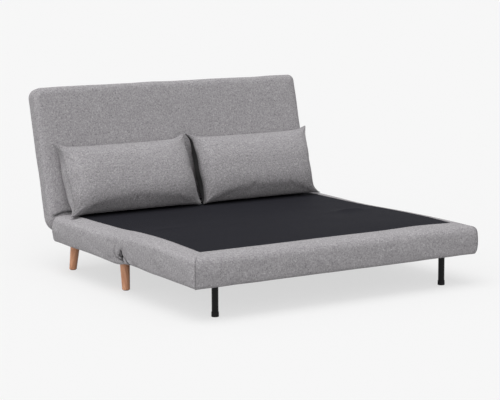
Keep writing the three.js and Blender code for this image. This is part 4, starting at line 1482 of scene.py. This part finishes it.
PILLOW_SHAPES = {
    Side.LEFT: PillowShape(
        corners=((-0.7435, -0.014), (-0.737, 0.007)),
        draws=((0.027, 0.035), (0.002, 0.006)),
        ears=((0.007, 0.005), (0.007, 0.006)),
        low_shades=(0.18, 0.56),
        gap_shade=0.5,
        edge_shade=0.0,
    ),
    Side.RIGHT: PillowShape(
        corners=((0.003, 0.716), (0.021, 0.770)),
        draws=((0.014, 0.036), (0.042, 0.015)),
        ears=((0.005, 0.008), (0.006, 0.001)),
        low_shades=(0.34, 0.42),
        gap_shade=2.7,
        edge_shade=1.1,
    ),
}


@dataclass
class Pillow:
    """One lumbar pillow, swollen in a cloth simulation, then stood against the backrest.

    The pillow is made flat, with X across and Z up, and its seam is then laid through the
    places of its four corners.
    """

    side: Side
    width: float = 0.740
    height: float = 0.370
    front_crown: float = 0.078
    rear_crown: float = 0.108
    knife_edge: float = 0.0025
    voxel: float = 0.006
    pressure: float = 4.0
    frames: int = 20
    cap: float = 0.010
    seam_half: float = 0.0035
    seam_out: float = 0.0018
    top_reach: tuple[float, float] = (0.325, 0.015)
    top_depth: float = 0.045
    foot_y: float = 0.414
    deck_z: float = 0.2872
    face: float = 0.0538
    ear_forward: float = 0.006
    lean: float = math.radians(22.9)
    darkest: float = 2.75

    def shadow(self, p: Array, q: Array, y: Array) -> Array:
        """The painted shade of the cloth: darker low on the front, and inside the gap between the pillows.

        Args:
            p: share across, from -1 to 1.
            q: share up, from -1 to 1.
            y: depth of the flat pillow, below zero on its front.

        Returns:
            The shade at each point.
        """
        shape = PILLOW_SHAPES[self.side]
        front = smooth_step(0.006, -0.012, y)
        middle, bottom = shape.low_shades
        low = 0.14 + middle * smooth_step(0.45, -0.1, q) + bottom * smooth_step(-0.15, -0.85, q)
        inward = -p * self.side.value
        gap = shape.gap_shade * smooth_step(0.86, 0.94, inward)
        gap = gap * smooth_step(-0.006, 0.004, y) * smooth_step(0.072, 0.046, y)
        edge = shape.edge_shade * smooth_step(0.96, 1.0, inward) * smooth_step(0.9, 0.3, q)
        return (low + edge) * front + gap

    def start_shape(self) -> Piece:
        """Two crowned faces that meet in a knife edge.

        Across and up run as sines of their shares, so the grid closes up at the seam. The
        crown is the product of (1 - |across|^6) and (1 - |up|^2.5), each to the power
        0.6, and is a little fuller towards the bottom. The rear is squarer across.
        """
        across, up = (np.sin((np.linspace(0, 1, count) - 0.5) * math.pi) for count in (96, 56))
        a, u = np.meshgrid(across, up)
        x, z = a * self.width / 2, u * self.height / 2
        rounded = (1 - np.abs(a) ** 6).clip(0) ** 0.6
        crown = rounded * (1 - np.abs(u) ** 2.5).clip(0) ** 0.6
        crown = crown * (1 - 0.08 * u) * (1 + 0.03 * np.sin(3 * a + self.side.value))
        squarer = (1 - np.abs(a) ** 10).clip(0) ** 0.5 / np.maximum(rounded, 1e-6)
        front = joined(x, -crown * self.front_crown - self.knife_edge, z)
        rear = joined(x, crown * np.minimum(squarer, 1.6) * self.rear_crown + self.knife_edge, z)
        return slab(f"pillow_{self.side.word}_cushion", rear[:, ::-1], front[:, ::-1])

    def swell(self, piece: Piece) -> None:
        """Even mesh, cloth under pressure for some frames, and a cap on each point's way."""
        remesh = piece.modifiers.new("even", "REMESH")
        remesh.mode, remesh.voxel_size = "VOXEL", self.voxel
        before = places(applied(piece))
        cloth = piece.modifiers.new("cloth", "CLOTH")
        settings = cloth.settings
        settings.quality = 6
        settings.mass = 0.25
        settings.tension_stiffness = settings.compression_stiffness = 18
        settings.shear_stiffness = 8
        settings.bending_stiffness = 0.35
        settings.use_pressure = True
        settings.uniform_pressure_force = self.pressure
        settings.effector_weights.gravity = 0
        cloth.collision_settings.use_collision = False
        cloth.point_cache.frame_start, cloth.point_cache.frame_end = 1, self.frames
        for number in range(1, self.frames + 1):
            bpy.context.scene.frame_set(number)
        way = places(applied(piece)) - before
        bpy.context.scene.frame_set(1)
        length = np.linalg.norm(way, axis=1, keepdims=True)
        put_places(piece, before + way * np.minimum(1, self.cap / np.maximum(length, 1e-9)))

    def refine(self, piece: Piece) -> None:
        """One subdivision, then the seam and the creases that run in from the corners."""
        smooth = piece.modifiers.new("round", "SUBSURF")
        smooth.levels = smooth.render_levels = 1
        points = places(applied(piece))
        x, y, z = points.T
        right, above = self.width / 2 - np.abs(x), self.height / 2 - np.abs(z)
        a, u = np.clip(np.abs(x) / (self.width / 2), 0, 1), np.clip(np.abs(z) / (self.height / 2), 0, 1)
        edge = np.maximum(a, u)
        on_seam = self.seam_out * bell(self.seam_half, y) * smooth_step(0.86, 0.93, edge)
        reach, heading = np.hypot(right, above), np.degrees(np.arctan2(above, right))
        folds = sum(bell(8, heading - angle) for angle in (20, 48, 74))
        folds = folds * smooth_step(0.006, 0.022, reach) * smooth_step(0.11, 0.03, reach)
        y = y * (1 - 0.12 * folds)
        line = bell(0.0045, np.abs(y) - 0.0052) * smooth_step(0.88, 0.95, edge)
        x = x + np.sign(x) * smooth_step(0.9, 1.0, a) * on_seam
        z = z + np.sign(z) * smooth_step(0.9, 1.0, u) * on_seam
        put_places(piece, joined(x, y, z))
        seam = piece.data.attributes.new("seam", "FLOAT", "POINT")
        # The seam line is darkened, and the creases get painted shade.
        seam.data.foreach_set("value", (line * 0.5 + folds * 0.28).astype(np.float32))

    def settle(self, piece: Piece) -> None:
        """Stands the pillow on the deck and presses it against the backrest.

        The seam runs straight between the corners' places but for the draw of each side,
        by 1 - |up|^6, the rise of the top corners, by |across|^6, and the reach of the
        bottom corners forward over the deck, by |across|^6. A face's points lie off the
        seam's surface, square to the pillow's lean.
        """
        shape = PILLOW_SHAPES[self.side]
        flat_x, flat_y, flat_z = places(piece).T
        half_w, half_h = np.abs(flat_x).max(), np.abs(flat_z).max()
        near = np.hypot(half_w - np.abs(flat_x), half_h - np.abs(flat_z))
        ears = np.array(shape.ears)[np.where(flat_z < 0, 0, 1), np.where(flat_x > 0, 1, 0)]
        tip = ears * smooth_step(0.045, 0.0, near)
        p, q = (flat_x + np.sign(flat_x) * tip) / half_w, (flat_z + np.sign(flat_z) * tip) / half_h
        p_in, q_in = np.clip(p, -1, 1), np.clip(q, -1, 1)
        share = (q + 1) / 2
        bottom, top = np.array(shape.corners)[:, :, None]
        x_low, x_high = bottom + (top - bottom) * share
        draws = np.array(shape.draws)[np.where(p < 0, 0, 1)].T
        draw = (draws[0] + (draws[1] - draws[0]) * share) * np.abs(p_in) ** 3 * (1 - q_in**6)
        wobble = 0.0020 * np.sin(9.0 * q + 2.0 * np.sign(p) + self.side.value) * p_in**8 * (1 - q_in**6)
        x = (x_low + x_high) / 2 + p * (x_high - x_low) / 2 - np.sign(p) * (draw + wobble)
        reach = self.top_reach[0] + self.top_reach[1] * p_in**6
        foot_y = PIVOT_Y - self.face * LEAN_COS + 0.032 * LEAN_SIN
        top_y = foot_y - self.top_depth * LEAN_COS + reach * LEAN_SIN
        top_z = self.deck_z + self.top_depth * LEAN_SIN + reach * LEAN_COS
        low_y, low_z = self.foot_y - self.ear_forward * p_in**6, self.deck_z + 0.0015
        y = low_y + (top_y - low_y) * share + flat_y * math.cos(self.lean)
        z = low_z + (top_z - low_z) * share - flat_y * math.sin(self.lean)
        stood = joined(x, y, self.deck_z + eased(z - self.deck_z, 0.012))
        normal = np.array([0, -LEAN_COS, LEAN_SIN])
        gap = (stood - np.array([0, PIVOT_Y, PIVOT_Z])) @ normal - self.face
        put_places(piece, stood + (eased(gap, 0.018) - gap)[:, None] * normal)
        values = np.zeros(len(stood), np.float32)
        seam = piece.data.attributes["seam"]
        seam.data.foreach_get("value", values)
        # The painted shade of the lower front and the gap is added to the seam line and crease marks.
        shade = np.minimum(values + self.shadow(p, q, flat_y), self.darkest)
        seam.data.foreach_set("value", shade.astype(np.float32))

    def build(self) -> Piece:
        """Runs the steps and hands the pillow to its body."""
        piece = self.start_shape()
        self.swell(piece)
        self.refine(piece)
        self.settle(piece)
        piece.data.polygons.foreach_set("use_smooth", np.ones(len(piece.data.polygons), bool))
        piece.data.materials.clear()
        GREY_FABRIC.hand_over(piece, f"{self.side.word}_pillow", f"pillow_{self.side.word}")
        return piece


# The legs


@dataclass
class WoodenLeg:
    """One splayed, tapered wooden leg and its rubber glide."""

    side: Side
    name: str
    top_y: float
    along: int
    inwards: float = 0.0
    forwards: float = 0.0
    top_radius: float = 0.0246
    foot_radius: float = 0.0186
    low: float = 0.0033
    high: float = 0.1534
    height: float = 0.1501
    ease: float = 0.0014
    glide: Profile = (
        (0.0005, 0.0), (0.0132, 0.0), (0.0138, 0.0005), (0.0140, 0.0012), (0.0140, 0.0030), (0.0005, 0.0030),
    )

    def build(self) -> Piece:
        """Level circles whose middles and radii run straight from foot to top.

        The edge of the foot and of the top is eased by a small quarter circle.
        """
        side, angles = self.side.value, np.linspace(0, QUARTER, 6)
        rise, cut = self.ease * (1 - np.cos(angles)), self.ease * (1 - np.sin(angles))
        middle, end = np.linspace(0.01, 0.1395, 14), [self.height]
        heights = np.concatenate([[0], rise, middle, self.height - rise[::-1], end])
        cuts = np.concatenate([[0], cut, 0 * middle, cut[::-1] * 0.4, [0]])
        share = heights / self.height
        radii = self.foot_radius + (self.top_radius - self.foot_radius) * share - cuts
        radii[[0, -1]] = 0
        top = np.array([side * (HALF_WIDTH - 0.098 - self.inwards), self.top_y - self.forwards])
        foot = top + np.array([side * 0.007, self.along * 0.024])
        levels = self.low + share * (self.high - self.low)
        profile, middles = np.stack([radii, levels], axis=-1), foot + share[:, None] * (top - foot)
        leg = turned(f"wooden_leg_{self.name}", profile, middles, 48, poles=True)
        return BEECH.hand_over(leg, "rear_section", f"wood_leg_{self.name}")

    def build_glide(self) -> Piece:
        """The rubber disc under the foot, with an eased lower edge."""
        x = self.side.value * (HALF_WIDTH - 0.091 - self.inwards)
        middle = (x, self.top_y - self.forwards + self.along * 0.024)
        glide = turned(f"glide_{self.name}", self.glide, middle)
        return RUBBER.hand_over(glide, "rear_section", f"leg_glide_{self.name}")


@dataclass
class MetalLeg:
    """One folding tube leg with its rubber foot."""

    side: Side
    place: tuple[float, float] = (0.6235, -0.750161)
    radius: float = 0.0150
    bore: float = 0.0130
    under: float = 0.0043
    top: float = 0.192
    ease: float = 0.0006
    cup: Profile = (
        (0.0005, 0.0), (0.0148, 0.0), (0.0162, 0.0006), (0.0168, 0.0018), (0.0168, 0.006), (0.0167, 0.014),
        (0.0165, 0.0205), (0.0162, 0.0222), (0.0158, 0.0228), (0.0154, 0.0229), (0.0152, 0.0224),
        (0.0152, 0.0041), (0.0005, 0.0041),
    )

    def build(self) -> list[Piece]:
        """The tube's wall and the foot's cup, each a closed profile turned round its axis."""
        word, inner, outer = self.side.word, self.bore, self.radius
        under, top, eased_r = self.under, self.top, self.radius - self.ease
        wall = [(inner, under), (eased_r, under), (outer, under + self.ease)]
        wall += [(outer, z) for z in np.linspace(0.02, 0.18, 9)]
        wall += [(outer, top - self.ease), (eased_r, top), (inner, top)]
        wall += [(inner, z) for z in np.linspace(0.18, 0.02, 5)]
        middle = (self.side.value * self.place[0], self.place[1])
        tube, foot = turned(f"tube_leg_{word}", wall, middle), turned(f"rubber_foot_{word}", self.cup, middle)
        BLACK_STEEL.hand_over(tube, f"leg_{word}", f"metal_leg_{word}")
        RUBBER.hand_over(foot, f"leg_{word}", f"leg_foot_{word}")
        return [tube, foot]


@dataclass
class Hardware:
    """The CAD nodes that stay as they are, each with its finish."""

    finishes: dict[str, Finish] = field(
        default_factory=lambda: {
            "leg_plate_": ZINC, "leg_glide_": RUBBER, "leg_channel_": BLACK_STEEL, "leg_pin_": ZINC,
            "fold_hinge_": ZINC, "ratchet_": ZINC, "pawl_pin_": ZINC,
            "rear_frame": TIMBER, "front_frame": TIMBER, "back_frame": TIMBER,
        }
    )

    def dress(self) -> int:
        """Dresses every kept node and says how many there are."""
        count = 0
        for name, node in frame["nodes"].items():
            for start, finish in self.finishes.items():
                if name.startswith(start):
                    finish.dress(node)
                    count += 1
        return count


def main() -> None:
    """Builds the sofa bed piece by piece and reports each one."""
    logging.basicConfig(level=logging.INFO, format="%(message)s")
    Studio().build()
    cover = MattressCover(Mattress())
    made = [part.build() for part in (cover, DeckCloth(cover), FoldGusset(cover), SeatPanel(), DustCover())]
    backrest = Backrest()
    made += [backrest.build_body(), backrest.build_panel()]
    made += [Pillow(side).build() for side in Side]
    for side in Side:
        rear_leg = WoodenLeg(side, f"rear_{side.word}", 0.532839, 1, 0.0105, 0.009)
        made.append(WoodenLeg(side, f"front_{side.word}", -0.013161, -1).build())
        made += [rear_leg.build(), rear_leg.build_glide(), *MetalLeg(side).build()]
    for piece in made:
        report.info("%s: %d faces", piece.name, len(piece.data.polygons))
    report.info("kept nodes dressed: %d", Hardware().dress())


if __name__ == "__main__":
    main()
